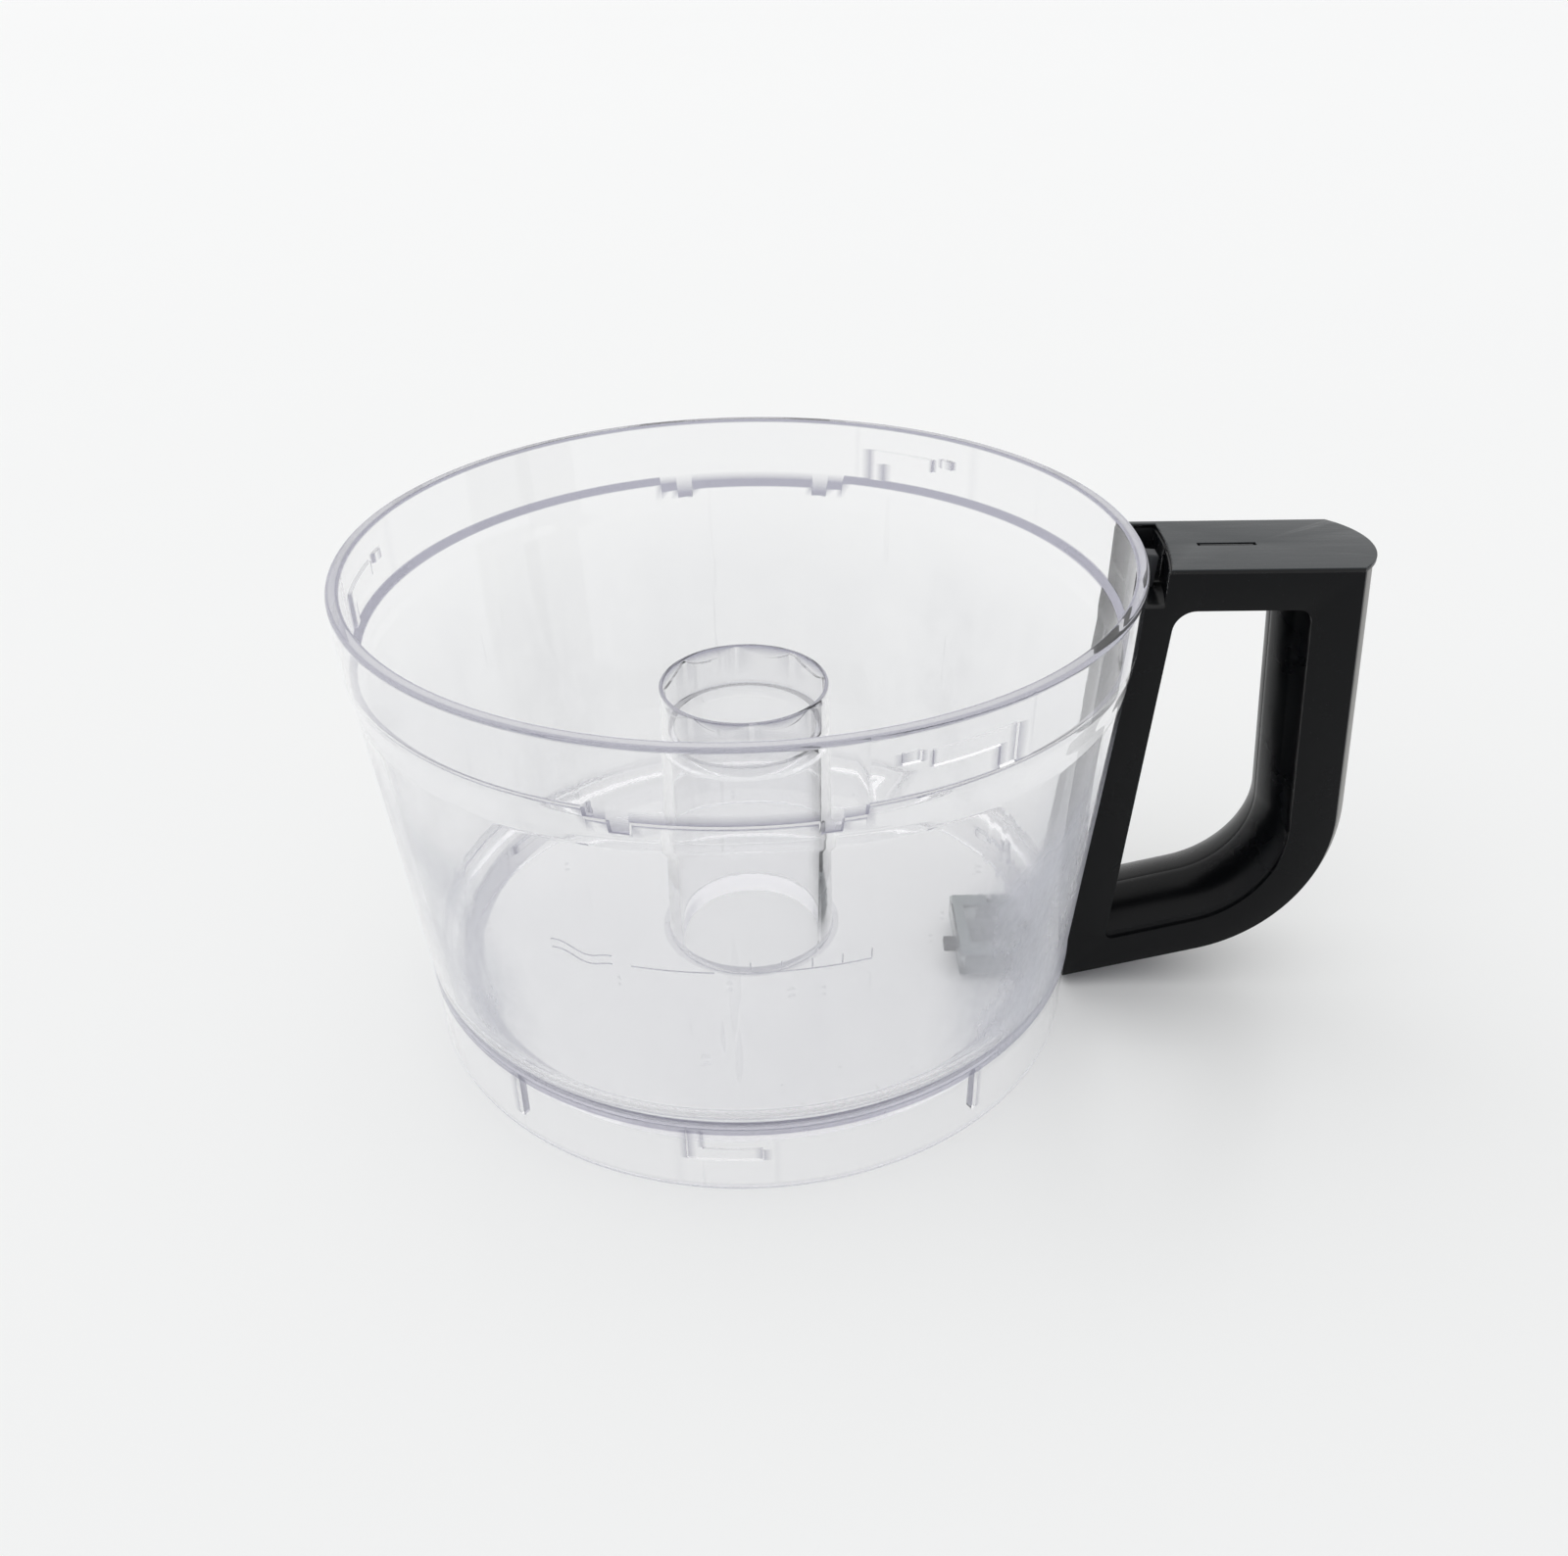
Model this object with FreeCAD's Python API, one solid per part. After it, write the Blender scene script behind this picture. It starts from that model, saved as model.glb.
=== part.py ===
"""Work bowl of a food processor: clear bowl, black loop handle and lid interlock.

Millimetres. The origin is on the bowl's axis in the plane that the skirt stands on,
+Z is up and +X points to the handle. The handle is split along the plane Y = 0.
"""
import FreeCAD, Part
import math
import os

V = FreeCAD.Vector

# ---- bowl ----
RIM_RADIUS = 107.5
RIM_Z = 141.4
RIM_INNER_RADIUS = 104.1
COLLAR_FOOT_RADIUS = 106.7
COLLAR_FOOT_Z = 121.8
SHOULDER_Z = 116.5
WALL_TAPER = 0.0873
WALL_RADIUS_AT_ZERO = 95.37
WALL = 2.9
SKIRT_RADIUS = 97.0
SKIRT_INNER_RADIUS = 94.2
WEB_BOTTOM_Z = 20.6
WEB_TOP_Z = 25.3
FLOOR_TOP_Z = 15.3
FLOOR_BOTTOM_Z = 10.5
DISH_RADIUS = 92.0
DISH_INNER_RADIUS = 89.2
SHELF_RADIUS = 103.9
SHELF_Z = 123.2
LIP_RADIUS = 101.9
LOW_SHELF_Z = 120.8
NOTCH_Z = 117.3
TUBE_TOP_Z = 99.2
TUBE_TOP_RADIUS = 24.1
TUBE_FOOT_RADIUS = 25.4
TUBE_MOUTH_RADIUS = 22.4
TUBE_RING_RADIUS = 20.5
TUBE_RING_TOP_Z = 87.0
TUBE_RING_BOTTOM_Z = 83.6
SCALLOP_COUNT = 8
SCALLOP_LOW_Z = 95.7
LID_BAYONET_AZIMUTHS = (-59.0, 61.0, 181.0)
FOOT_BAYONET_AZIMUTHS = (-93.0, 27.0, 147.0)
SHELF_DIP_AZIMUTHS = (-90.5, 89.5)
FOOT_RIB_AZIMUTHS = (-130.0, -49.5, 49.5, 130.0)
BAYONET_HEIGHT = 1.1

# ---- handle: distances run from the elbow's axis ----
HANDLE_HALF = 16.8
ELBOW_X = 124.5
ELBOW_Z = 58.0
FACE_RADIUS = 44.8
CROWN = 6.2
WINDOW_RADIUS = 32.2
WINDOW_FOOT_DISTANCE = 34.4
GRIP_RADIUS = 26.6
GRIP_HALF = 15.6
SPINE_LEAN = math.radians(5.2)
FOOT_SLOPE = math.radians(14.5)
HANDLE_TOP_Z = 138.2
HANDLE_CLEAR_Z = 0.8
CAP_TOP_Z = 139.4
WINDOW_TOP_Z = 127.6
WINDOW_LEFT_X = 106.3
WINDOW_LEFT_TAPER = 0.066
POCKET_FLOOR_Z = 128.5
POCKET_RADIUS = 114.0
POCKET_CENTRE = (0.4, 8.0)
CAP_SETBACK = 0.4
POCKET_END_Y = 14.8
SHELL = 2.4
GAP = 0.3
TRIM_HALF = 16.0
TRIM_THICKNESS = 1.5
RAIL_WEB_Y = (8.4, 10.4)
RAIL_TOE_Y = 13.0
RAIL_OFFSETS = (2.4, 4.2)
RAIL_Z = (30.0, 112.0)

# ---- fasteners ----
SCREW_RADIUS = 1.5
CLEARANCE = 0.05
HEAD_RADIUS = 3.0
HEAD_HEIGHT = 2.2
PLUG_HEIGHT = 1.35
BOSS_RADIUS = 4.2
SCREW_TIP_Y = -11.5
HANDLE_SCREWS = ((119.8, 132.9), (151.5, 132.9), (144.4, 24.0), (114.5, 14.8))

# ---- interlock: S runs up the rod, which leans with the bowl's wall ----
ROD_FOOT_X = 99.4
ROD_RADIUS = 1.6
ROD_LEAN = math.atan(WALL_TAPER)
BLADE = (1.2, 4.0)
GUIDE_S = (24.0, 28.0)
SHOULDER_S = 56.0
BLADE_TOP_S = 127.1
PUSHER_TOP_S = 137.9
RAMP_TOP_Z = 18.6
RAMP_X = 98.5
RAMP_END_X = 107.6
SLIDE_Z = (5.4, 8.0)
SLIDE_X = 72.0
NOSE_X = 60.5
NOSE_Y = (-7.4, -3.0)
SPRING_SLOT = (80.5, 1.2, 6.2)
BOX_X = (64.5, 86.0)
BOX_HALF = 15.4
BOX_Z = (4.8, 9.7)
BOX_WALL = 1.5
COVER_Z = 2.6
BOX_SCREWS = ((77.0, -12.0), (77.0, 12.0))
BOX_HEAD = (2.6, 1.3)
COIL_WIRE = 0.3


# ---- helpers ----
def box(x, y, z):
    """Block between the pairs x, y and z."""
    return Part.makeBox(x[1] - x[0], y[1] - y[0], z[1] - z[0], V(x[0], y[0], z[0]))


def rod(radius, start, end):
    """Cylinder from start to end."""
    axis = V(*end) - V(*start)
    return Part.makeCylinder(radius, axis.Length, V(*start), axis)


def rounded_wire(corners, place):
    """Closed wire through (u, v, radius) corners; place turns (u, v) into a point."""
    spans = []
    count = len(corners)
    for i, (u, v, radius) in enumerate(corners):
        here = V(u, v, 0)
        if radius == 0:
            spans.append((here, here, here))
            continue
        back = (V(*corners[i - 1][:2], 0) - here).normalize()
        ahead = (V(*corners[(i + 1) % count][:2], 0) - here).normalize()
        half = back.getAngle(ahead) / 2
        reach = radius / math.tan(half)
        crest = here + (back + ahead).normalize() * (radius / math.sin(half) - radius)
        spans.append((here + back * reach, crest, here + ahead * reach))
    edges = []
    for i, span in enumerate(spans):
        start, crest, end = (place(p.x, p.y) for p in span)
        following = spans[(i + 1) % count][0]
        following = place(following.x, following.y)
        if (start - end).Length > 1e-6:
            edges.append(Part.Arc(start, crest, end).toShape())
        if (following - end).Length > 1e-6:
            edges.append(Part.LineSegment(end, following).toShape())
    return Part.Wire(Part.__sortEdges__(edges))


def turned(corners):
    """Solid turned about Z from an (r, z, radius) section."""
    face = Part.Face(rounded_wire(corners, lambda u, v: V(u, 0, v)))
    return face.revolve(V(0, 0, 0), V(0, 0, 1), 360)


def slab(corners, y):
    """Plate with an (x, z, radius) outline between the pair y."""
    face = Part.Face(rounded_wire(corners, lambda u, v: V(u, y[0], v)))
    return face.extrude(V(0, y[1] - y[0], 0))


def sector(radii, z, centre, half_angle):
    """Block of a ring, half_angle degrees to both sides of the azimuth centre."""
    ring = Part.makeCylinder(radii[1], z[1] - z[0], V(0, 0, z[0]), V(0, 0, 1), 2 * half_angle)
    core = Part.makeCylinder(radii[0], z[1] - z[0] + 2, V(0, 0, z[0] - 1))
    piece = ring.cut(core)
    piece.rotate(V(0, 0, 0), V(0, 0, 1), centre - half_angle)
    return piece


def fused(shapes):
    """One shape from many, with leftover seams removed."""
    return shapes[0].fuse(shapes[1:]).removeSplitter()


def coil(radius, wire, length, turns):
    """Helical spring that stands on the origin along Z."""
    pitch = (length - 2 * wire) / turns
    helix = Part.makeHelix(pitch, pitch * turns, radius)
    section = Part.Wire(Part.makeCircle(wire, V(radius, 0, 0), V(0, 1, pitch / (2 * math.pi * radius))))
    spring = Part.Wire(helix).makePipeShell([section], True, True)
    spring.translate(V(0, 0, wire))
    return spring


def write(name, shape):
    """Write one sub-part as parts/NAME.step."""
    shape.exportStep("parts/" + name + ".step")
    print(name, "solids", len(shape.Solids), "volume", round(shape.Volume), "valid", shape.isValid())


def wall_radius(z):
    """Outer radius of the tapered wall at height z."""
    return WALL_RADIUS_AT_ZERO + WALL_TAPER * z


# ---- bowl ----
def bowl_section():
    """Half section of the bowl: skirt, wall, collar, shelf, floor and centre tube."""
    band_radius = wall_radius(WEB_TOP_Z) + 0.15
    bore_radius = TUBE_RING_RADIUS + 1.2
    outer = [
        (SKIRT_INNER_RADIUS, 0, 0.5),
        (SKIRT_RADIUS, 0, 0.8),
        (SKIRT_RADIUS + 0.2, WEB_BOTTOM_Z, 0),
        (band_radius, WEB_BOTTOM_Z + 0.35, 0),
        (band_radius - 0.15, WEB_TOP_Z, 0),
        (wall_radius(SHOULDER_Z), SHOULDER_Z, 9),
        (COLLAR_FOOT_RADIUS, COLLAR_FOOT_Z, 6),
        (RIM_RADIUS, RIM_Z, 0.8),
    ]
    inner = [
        (RIM_INNER_RADIUS, RIM_Z, 0.6),
        (SHELF_RADIUS, SHELF_Z, 0.3),
        (LIP_RADIUS, SHELF_Z - 1.2, 0.4),
        (LIP_RADIUS, NOTCH_Z - 0.6, 1.5),
        (wall_radius(112) - WALL, 112, 4),
        (wall_radius(27) - WALL, 27, 3),
        (DISH_INNER_RADIUS, 23, 3),
        (DISH_INNER_RADIUS, FLOOR_TOP_Z, 5),
        (TUBE_FOOT_RADIUS, FLOOR_TOP_Z, 1.8),
        (TUBE_TOP_RADIUS, TUBE_TOP_Z, 0.6),
    ]
    tube_and_underside = [
        (TUBE_MOUTH_RADIUS, TUBE_TOP_Z, 0.4),
        (TUBE_MOUTH_RADIUS, TUBE_RING_TOP_Z, 0.3),
        (TUBE_RING_RADIUS, TUBE_RING_TOP_Z, 0.3),
        (TUBE_RING_RADIUS, TUBE_RING_BOTTOM_Z, 0.3),
        (bore_radius, TUBE_RING_BOTTOM_Z - 0.8, 0),
        (bore_radius + 0.5, FLOOR_BOTTOM_Z, 0.5),
        (DISH_RADIUS, FLOOR_BOTTOM_Z, 6),
        (DISH_RADIUS, WEB_BOTTOM_Z, 0.6),
        (SKIRT_INNER_RADIUS, WEB_BOTTOM_Z, 0.6),
    ]
    return outer + inner + tube_and_underside


def tube_scallops():
    """Shallow wave-shaped pockets round the mouth of the centre tube."""
    pitch = 2 * math.pi * TUBE_MOUTH_RADIUS / SCALLOP_COUNT
    depth = TUBE_TOP_Z - SCALLOP_LOW_Z
    radius = (pitch * pitch / 4 + depth * depth) / (2 * depth)
    drums = []
    for i in range(SCALLOP_COUNT):
        drum = Part.makeCylinder(radius, 30, V(0, 0, SCALLOP_LOW_Z + radius), V(1, 0, 0))
        drum.rotate(V(0, 0, 0), V(0, 0, 1), 30 + 360 / SCALLOP_COUNT * i)
        drums.append(drum)
    band = Part.makeCylinder(TUBE_MOUTH_RADIUS + 0.6, 12, V(0, 0, TUBE_TOP_Z - 10))
    return drums[0].fuse(drums[1:]).common(band)


def lid_bayonet(azimuth):
    """L-shaped retaining rib and its detent on the inside of the collar."""
    depth = (SHELF_RADIUS - BAYONET_HEIGHT, SHELF_RADIUS + 0.8)
    bar = sector(depth, (129.5, 133.6), azimuth, 6.2)
    stop = sector(depth, (SHELF_Z - 0.6, 133.6), azimuth + 4.9, 1.3)
    detent = sector(depth, (131.6, 134.4), azimuth - 9.1, 1.2)
    return [bar, stop, detent]


def foot_bayonet(azimuth):
    """L-shaped rib inside the skirt that the lugs of the motor base run over."""
    depth = (SKIRT_INNER_RADIUS - BAYONET_HEIGHT, SKIRT_INNER_RADIUS + 0.8)
    bar = sector(depth, (9.4, 13.2), azimuth, 6.0)
    stop = sector(depth, (9.4, WEB_BOTTOM_Z + 0.3), azimuth - 4.8, 1.2)
    return [bar, stop]


def foot_rib(azimuth):
    """Thin rib between the dish of the floor and the skirt."""
    rib = box((DISH_RADIUS - 0.6, SKIRT_INNER_RADIUS + 0.8), (-0.6, 0.6), (5.0, WEB_BOTTOM_Z + 0.3))
    rib.rotate(V(0, 0, 0), V(0, 0, 1), azimuth)
    return rib


def wall_strip(offsets, y, z):
    """Strip that follows the wall's taper between two offsets from its outer face."""
    low, high = wall_radius(z[0]), wall_radius(z[1])
    corners = [
        (low + offsets[0], z[0], 0),
        (low + offsets[1], z[0], 0),
        (high + offsets[1], z[1], 0),
        (high + offsets[0], z[1], 0),
    ]
    return slab(corners, y)


def handle_rails():
    """Two upright rails with outward toes that the handle's shells hook behind."""
    rails = []
    for side in (-1, 1):
        web = sorted(side * y for y in RAIL_WEB_Y)
        toe = sorted((side * RAIL_WEB_Y[0], side * RAIL_TOE_Y))
        rails.append(wall_strip((-1.0, RAIL_OFFSETS[1]), web, RAIL_Z))
        rails.append(wall_strip(RAIL_OFFSETS, toe, RAIL_Z))
    return rails


def shelf_dip(azimuth):
    """Stretch where the lid's shelf is lower, with a deeper notch near each end."""
    dip = sector((LIP_RADIUS - 2, SHELF_RADIUS), (LOW_SHELF_Z, SHELF_Z + 0.2), azimuth, 17.2)
    notches = []
    for side in (-1, 1):
        notch = sector((LIP_RADIUS - 2, SHELF_RADIUS - 0.1), (NOTCH_Z, SHELF_Z), azimuth + side * 12.7, 1.4)
        notches.append(notch)
    return [dip] + notches


def make_bowl():
    """The clear moulding."""
    additions = handle_rails()
    for azimuth in LID_BAYONET_AZIMUTHS:
        additions += lid_bayonet(azimuth)
    for azimuth in FOOT_BAYONET_AZIMUTHS:
        additions += foot_bayonet(azimuth)
    for azimuth in FOOT_RIB_AZIMUTHS:
        additions.append(foot_rib(azimuth))
    cuts = [tube_scallops()]
    for azimuth in SHELF_DIP_AZIMUTHS:
        cuts += shelf_dip(azimuth)
    slide_window = box((DISH_RADIUS + 0.1, 99.0), (-5.4, 5.4), (SLIDE_Z[0] - 0.4, RAMP_TOP_Z + 0.6))
    cuts.append(slide_window)
    for x, y in BOX_SCREWS:
        hole = rod(SCREW_RADIUS + CLEARANCE, (x, y, FLOOR_BOTTOM_Z - 1), (x, y, FLOOR_BOTTOM_Z + 2.8))
        cuts.append(hole)
    return turned(bowl_section()).fuse(additions).cut(cuts)


# ---- handle ----
def spoke(distance, y, angle):
    """Point at a distance from the elbow's axis, in the direction of angle."""
    return V(ELBOW_X + distance * math.cos(angle), y, ELBOW_Z + distance * math.sin(angle))


def spine_x(distance, z):
    """X of the leaning line that is tangent to the elbow at a distance."""
    return ELBOW_X + (distance - (z - ELBOW_Z) * math.sin(SPINE_LEAN)) / math.cos(SPINE_LEAN)


def foot_z(distance, x):
    """Z of the sloping foot line that is tangent to the elbow at a distance."""
    return ELBOW_Z + ((x - ELBOW_X) * math.sin(FOOT_SLOPE) - distance) / math.cos(FOOT_SLOPE)


def elbow_corner(spine_distance, foot_distance):
    """Corner where a spine line and a foot line meet, rounded by the elbow."""
    spine = V(math.cos(SPINE_LEAN), math.sin(SPINE_LEAN), 0)
    foot = V(math.sin(FOOT_SLOPE), -math.cos(FOOT_SLOPE), 0)
    overlap = spine.dot(foot)
    along_spine = (spine_distance - foot_distance * overlap) / (1 - overlap ** 2)
    along_foot = (foot_distance - spine_distance * overlap) / (1 - overlap ** 2)
    corner = spine * along_spine + foot * along_foot
    return (ELBOW_X + corner.x, ELBOW_Z + corner.y, spine_distance)


def window_left(z):
    """X of the window's bowl-side edge at height z."""
    return WINDOW_LEFT_X + WINDOW_LEFT_TAPER * z


def crown_rise(y):
    """Height of the spine's crown above its edges, at y from the middle."""
    radius = (HANDLE_HALF ** 2 + CROWN ** 2) / (2 * CROWN)
    return math.sqrt(radius ** 2 - y ** 2) - radius + CROWN


def limb(edge, half, crown, base, rise, run):
    """Sweep an arched section down the spine, round the elbow and along the foot.

    The section lies between the distance base and an arc whose edges are at the distance
    edge and whose middle is crown further out. rise and run are the straight lengths.
    """
    faces = []
    for angle in (SPINE_LEAN, FOOT_SLOPE - math.pi / 2):
        corners = [
            spoke(edge, half, angle),
            spoke(base, half, angle),
            spoke(base, -half, angle),
            spoke(edge, -half, angle),
        ]
        edges = [Part.LineSegment(corners[i], corners[i + 1]).toShape() for i in range(3)]
        edges.append(Part.Arc(corners[3], spoke(edge + crown, 0, angle), corners[0]).toShape())
        faces.append(Part.Face(Part.Wire(Part.__sortEdges__(edges))))
    upper, lower = faces
    turn = 90 + math.degrees(SPINE_LEAN - FOOT_SLOPE)
    pieces = [
        upper.extrude(V(-math.sin(SPINE_LEAN), 0, math.cos(SPINE_LEAN)) * rise),
        lower.revolve(V(ELBOW_X, 0, ELBOW_Z), V(0, -1, 0), turn),
        lower.extrude(V(-math.cos(FOOT_SLOPE), 0, -math.sin(FOOT_SLOPE)) * run),
    ]
    return fused(pieces)


def bowl_envelope():
    """The bowl's outside with the assembly gap added."""
    corners = [
        (0, -5, 0),
        (SKIRT_RADIUS + 0.2 + GAP, -5, 0),
        (SKIRT_RADIUS + 0.2 + GAP, WEB_BOTTOM_Z - 0.2, 0),
        (wall_radius(WEB_TOP_Z) + 0.15 + GAP, WEB_BOTTOM_Z, 0),
        (wall_radius(WEB_TOP_Z) + 0.15 + GAP, WEB_TOP_Z, 0),
        (wall_radius(SHOULDER_Z) + GAP, SHOULDER_Z - 0.8, 0),
        (COLLAR_FOOT_RADIUS + GAP, COLLAR_FOOT_Z - 1.2, 0),
        (RIM_RADIUS + GAP, RIM_Z + 5, 0),
        (0, RIM_Z + 5, 0),
    ]
    return turned(corners)


def window_corners():
    """Outline of the finger window."""
    cos_slope, sin_slope = math.cos(FOOT_SLOPE), math.sin(FOOT_SLOPE)
    height = ELBOW_Z * cos_slope + (WINDOW_LEFT_X - ELBOW_X) * sin_slope - WINDOW_FOOT_DISTANCE
    foot = height / (cos_slope - WINDOW_LEFT_TAPER * sin_slope)
    return [
        (window_left(foot), foot, 2),
        (window_left(WINDOW_TOP_Z), WINDOW_TOP_Z, 6),
        (spine_x(WINDOW_RADIUS, WINDOW_TOP_Z), WINDOW_TOP_Z, 4),
        elbow_corner(WINDOW_RADIUS, WINDOW_FOOT_DISTANCE),
    ]


def lid_pocket(radius, z):
    """Space between the rim and the handle for the lid's tab, open towards -Y."""
    space = Part.makeCylinder(radius, z[1] - z[0], V(POCKET_CENTRE[0], POCKET_CENTRE[1], z[0]))
    return space.common(box((80, 130), (-30, POCKET_END_Y), z))


def handle_trim():
    """Metal strip let into the crown of the spine."""
    rise = crown_rise(TRIM_HALF)
    edge = FACE_RADIUS + rise
    crown = CROWN - rise
    outside = limb(edge, TRIM_HALF, crown, FACE_RADIUS - 2, 90, 6)
    inside = limb(edge - TRIM_THICKNESS, TRIM_HALF + 0.1, crown, FACE_RADIUS - 6, 91, 7)
    above = box((80, 200), (-30, 30), (HANDLE_TOP_Z, 180))
    return outside.cut([inside, above])


def handle_blank(trim):
    """The whole handle before it is hollowed and split."""
    outline = [
        (88, HANDLE_TOP_Z, 0),
        (spine_x(FACE_RADIUS, HANDLE_TOP_Z), HANDLE_TOP_Z, 0),
        elbow_corner(FACE_RADIUS, FACE_RADIUS),
        (88, foot_z(FACE_RADIUS, 88), 0),
    ]
    plate = slab(outline, (-HANDLE_HALF, HANDLE_HALF))
    crown = limb(FACE_RADIUS, HANDLE_HALF, CROWN, FACE_RADIUS - 4, 90, 48)
    window = slab(window_corners(), (-30, 30))
    grip_edge = WINDOW_RADIUS + 0.2
    grip = limb(grip_edge, GRIP_HALF, GRIP_RADIUS - grip_edge, WINDOW_RADIUS + 3, 67, 26)
    pocket = lid_pocket(POCKET_RADIUS, (POCKET_FLOOR_Z, 170))
    above = box((80, 200), (-30, 30), (HANDLE_TOP_Z, 180))
    below = box((80, 200), (-30, 30), (-30, HANDLE_CLEAR_Z))
    return plate.fuse(crown).cut(window).fuse(grip).cut([bowl_envelope(), pocket, above, below, trim])


def column_cavity():
    """Room for the rod and rails between the bowl's wall and the window."""
    rooms = []
    spans = ((-3.0, RAIL_WEB_Y[1] + 0.4, (19.0, POCKET_FLOOR_Z - 1.5)),
             (RAIL_OFFSETS[0] - 0.1, HANDLE_HALF - SHELL, (RAIL_Z[0] - 1, RAIL_Z[1] + 1)))
    for offset, half, (low, high) in spans:
        corners = [
            (wall_radius(low) + offset, low, 0),
            (window_left(low) - SHELL, low, 0),
            (window_left(high) - SHELL, high, 0),
            (wall_radius(high) + offset, high, 0),
        ]
        rooms.append(slab(corners, (-half, half)))
    chamber_end = RAMP_END_X + 0.8
    chamber = [
        (92, foot_z(FACE_RADIUS, 92) + GAP, 0),
        (chamber_end, foot_z(FACE_RADIUS, chamber_end) + GAP, 0),
        (chamber_end, 13, 0),
        (105, 16, 0),
        (105, 20, 0),
        (92, 20, 0),
    ]
    rooms.append(slab(chamber, (-6, 6)))
    rooms.append(box((100, 112.2), (-3.0, 3.0), (POCKET_FLOOR_Z - 2, POCKET_FLOOR_Z + 1)))
    rooms.append(guide_block(CLEARANCE))
    return rooms


def limb_cavity():
    """Hollow of the top bar, the grip and the foot."""
    half = HANDLE_HALF - SHELL
    outer_room = limb(FACE_RADIUS - 1.4, half, CROWN - 2.5, 36, 68, 14)
    inner_room = limb(WINDOW_RADIUS + SHELL, half - 2, -4.4, 37, 66, 14)
    bar_room = box((118, 156), (-half, half), (WINDOW_TOP_Z + SHELL, HANDLE_TOP_Z - SHELL))
    return [outer_room, inner_room, bar_room]


def handle_shell(blank, side):
    """One half of the handle: side -1 is the half with the screw pilots, 1 has the heads."""
    half_space = box((80, 200), sorted((0, side * 30)), (-10, 180))
    shell = blank.common(half_space).cut(column_cavity() + limb_cavity())
    bosses = [rod(BOSS_RADIUS, (x, 0, z), (x, side * (HANDLE_HALF - 1), z)) for x, z in HANDLE_SCREWS]
    shell = shell.fuse(bosses)
    holes = []
    seat = HANDLE_HALF - PLUG_HEIGHT - HEAD_HEIGHT - CLEARANCE
    for x, z in HANDLE_SCREWS:
        if side < 0:
            holes.append(rod(SCREW_RADIUS + CLEARANCE, (x, 1, z), (x, SCREW_TIP_Y - 0.5, z)))
        else:
            holes.append(rod(SCREW_RADIUS + CLEARANCE, (x, -1, z), (x, HANDLE_HALF, z)))
            holes.append(rod(HEAD_RADIUS + CLEARANCE, (x, seat, z), (x, HANDLE_HALF + 1, z)))
    return shell.cut(holes).removeSplitter()


def handle_cap():
    """Satin plate on top of the handle, with a recessed bar that marks the lid's position."""
    edge = spine_x(FACE_RADIUS, CAP_TOP_Z)
    corners = [V(100, HANDLE_HALF, 0), V(edge, HANDLE_HALF, 0), V(edge, -HANDLE_HALF, 0), V(100, -HANDLE_HALF, 0)]
    edges = [Part.LineSegment(corners[i - 1], corners[i]).toShape() for i in (0, 1, 3)]
    edges.append(Part.Arc(corners[1], V(edge + CROWN + 1.2, 0, 0), corners[2]).toShape())
    plan = Part.Face(Part.Wire(Part.__sortEdges__(edges)))
    plan.translate(V(0, 0, HANDLE_TOP_Z))
    plate = plan.extrude(V(0, 0, CAP_TOP_Z - HANDLE_TOP_Z))
    pocket = lid_pocket(POCKET_RADIUS + CAP_SETBACK, (HANDLE_TOP_Z - 1, CAP_TOP_Z + 1))
    plate = plate.cut([pocket, Part.makeCylinder(RIM_RADIUS + GAP, 4, V(0, 0, HANDLE_TOP_Z - 1))])
    top_edges = [e for e in plate.Edges if min(v.Z for v in e.Vertexes) > CAP_TOP_Z - 0.01]
    plate = plate.makeFillet(0.35, top_edges)
    mark = box((122.6, 138.4), (-1.0, 1.0), (CAP_TOP_Z - 0.55, CAP_TOP_Z + 1))
    bar = box((123.4, 137.6), (-0.4, 0.4), (CAP_TOP_Z - 0.6, CAP_TOP_Z - 0.2))
    return plate.cut(mark).fuse(bar)


def handle_screws():
    """Self-tapping screws that hold the two halves together."""
    seat = HANDLE_HALF - PLUG_HEIGHT - HEAD_HEIGHT - CLEARANCE
    screws = []
    for x, z in HANDLE_SCREWS:
        shank = rod(SCREW_RADIUS, (x, SCREW_TIP_Y, z), (x, seat, z))
        head = rod(HEAD_RADIUS, (x, seat, z), (x, seat + HEAD_HEIGHT, z))
        socket = box((x - 0.4, x + 0.4), (seat + 1.0, seat + 4), (z - 1.8, z + 1.8))
        cross = box((x - 1.8, x + 1.8), (seat + 1.0, seat + 4), (z - 0.4, z + 0.4))
        screws.append(shank.fuse(head).cut([socket, cross]))
    return Part.makeCompound(screws)


def screw_plugs():
    """Black plugs over the screw heads, flush with the handle's side."""
    base = HANDLE_HALF - PLUG_HEIGHT
    plugs = [rod(HEAD_RADIUS, (x, base, z), (x, HANDLE_HALF, z)) for x, z in HANDLE_SCREWS]
    return Part.makeCompound(plugs)


# ---- interlock ----
def on_rod(shape):
    """Move a shape from the rod's own frame, with S as Z, to the leaning rod."""
    moved = shape.copy()
    moved.rotate(V(0, 0, 0), V(0, 1, 0), math.degrees(ROD_LEAN))
    moved.translate(V(ROD_FOOT_X, 0, 0))
    return moved


def tenon(clearance):
    """Tongue that joins the rod to its pusher."""
    return box((-0.8 - clearance, 0.3 + clearance), (-1.5 - clearance, 1.5 + clearance),
               (BLADE_TOP_S - 1, BLADE_TOP_S + 4 + clearance))


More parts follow.
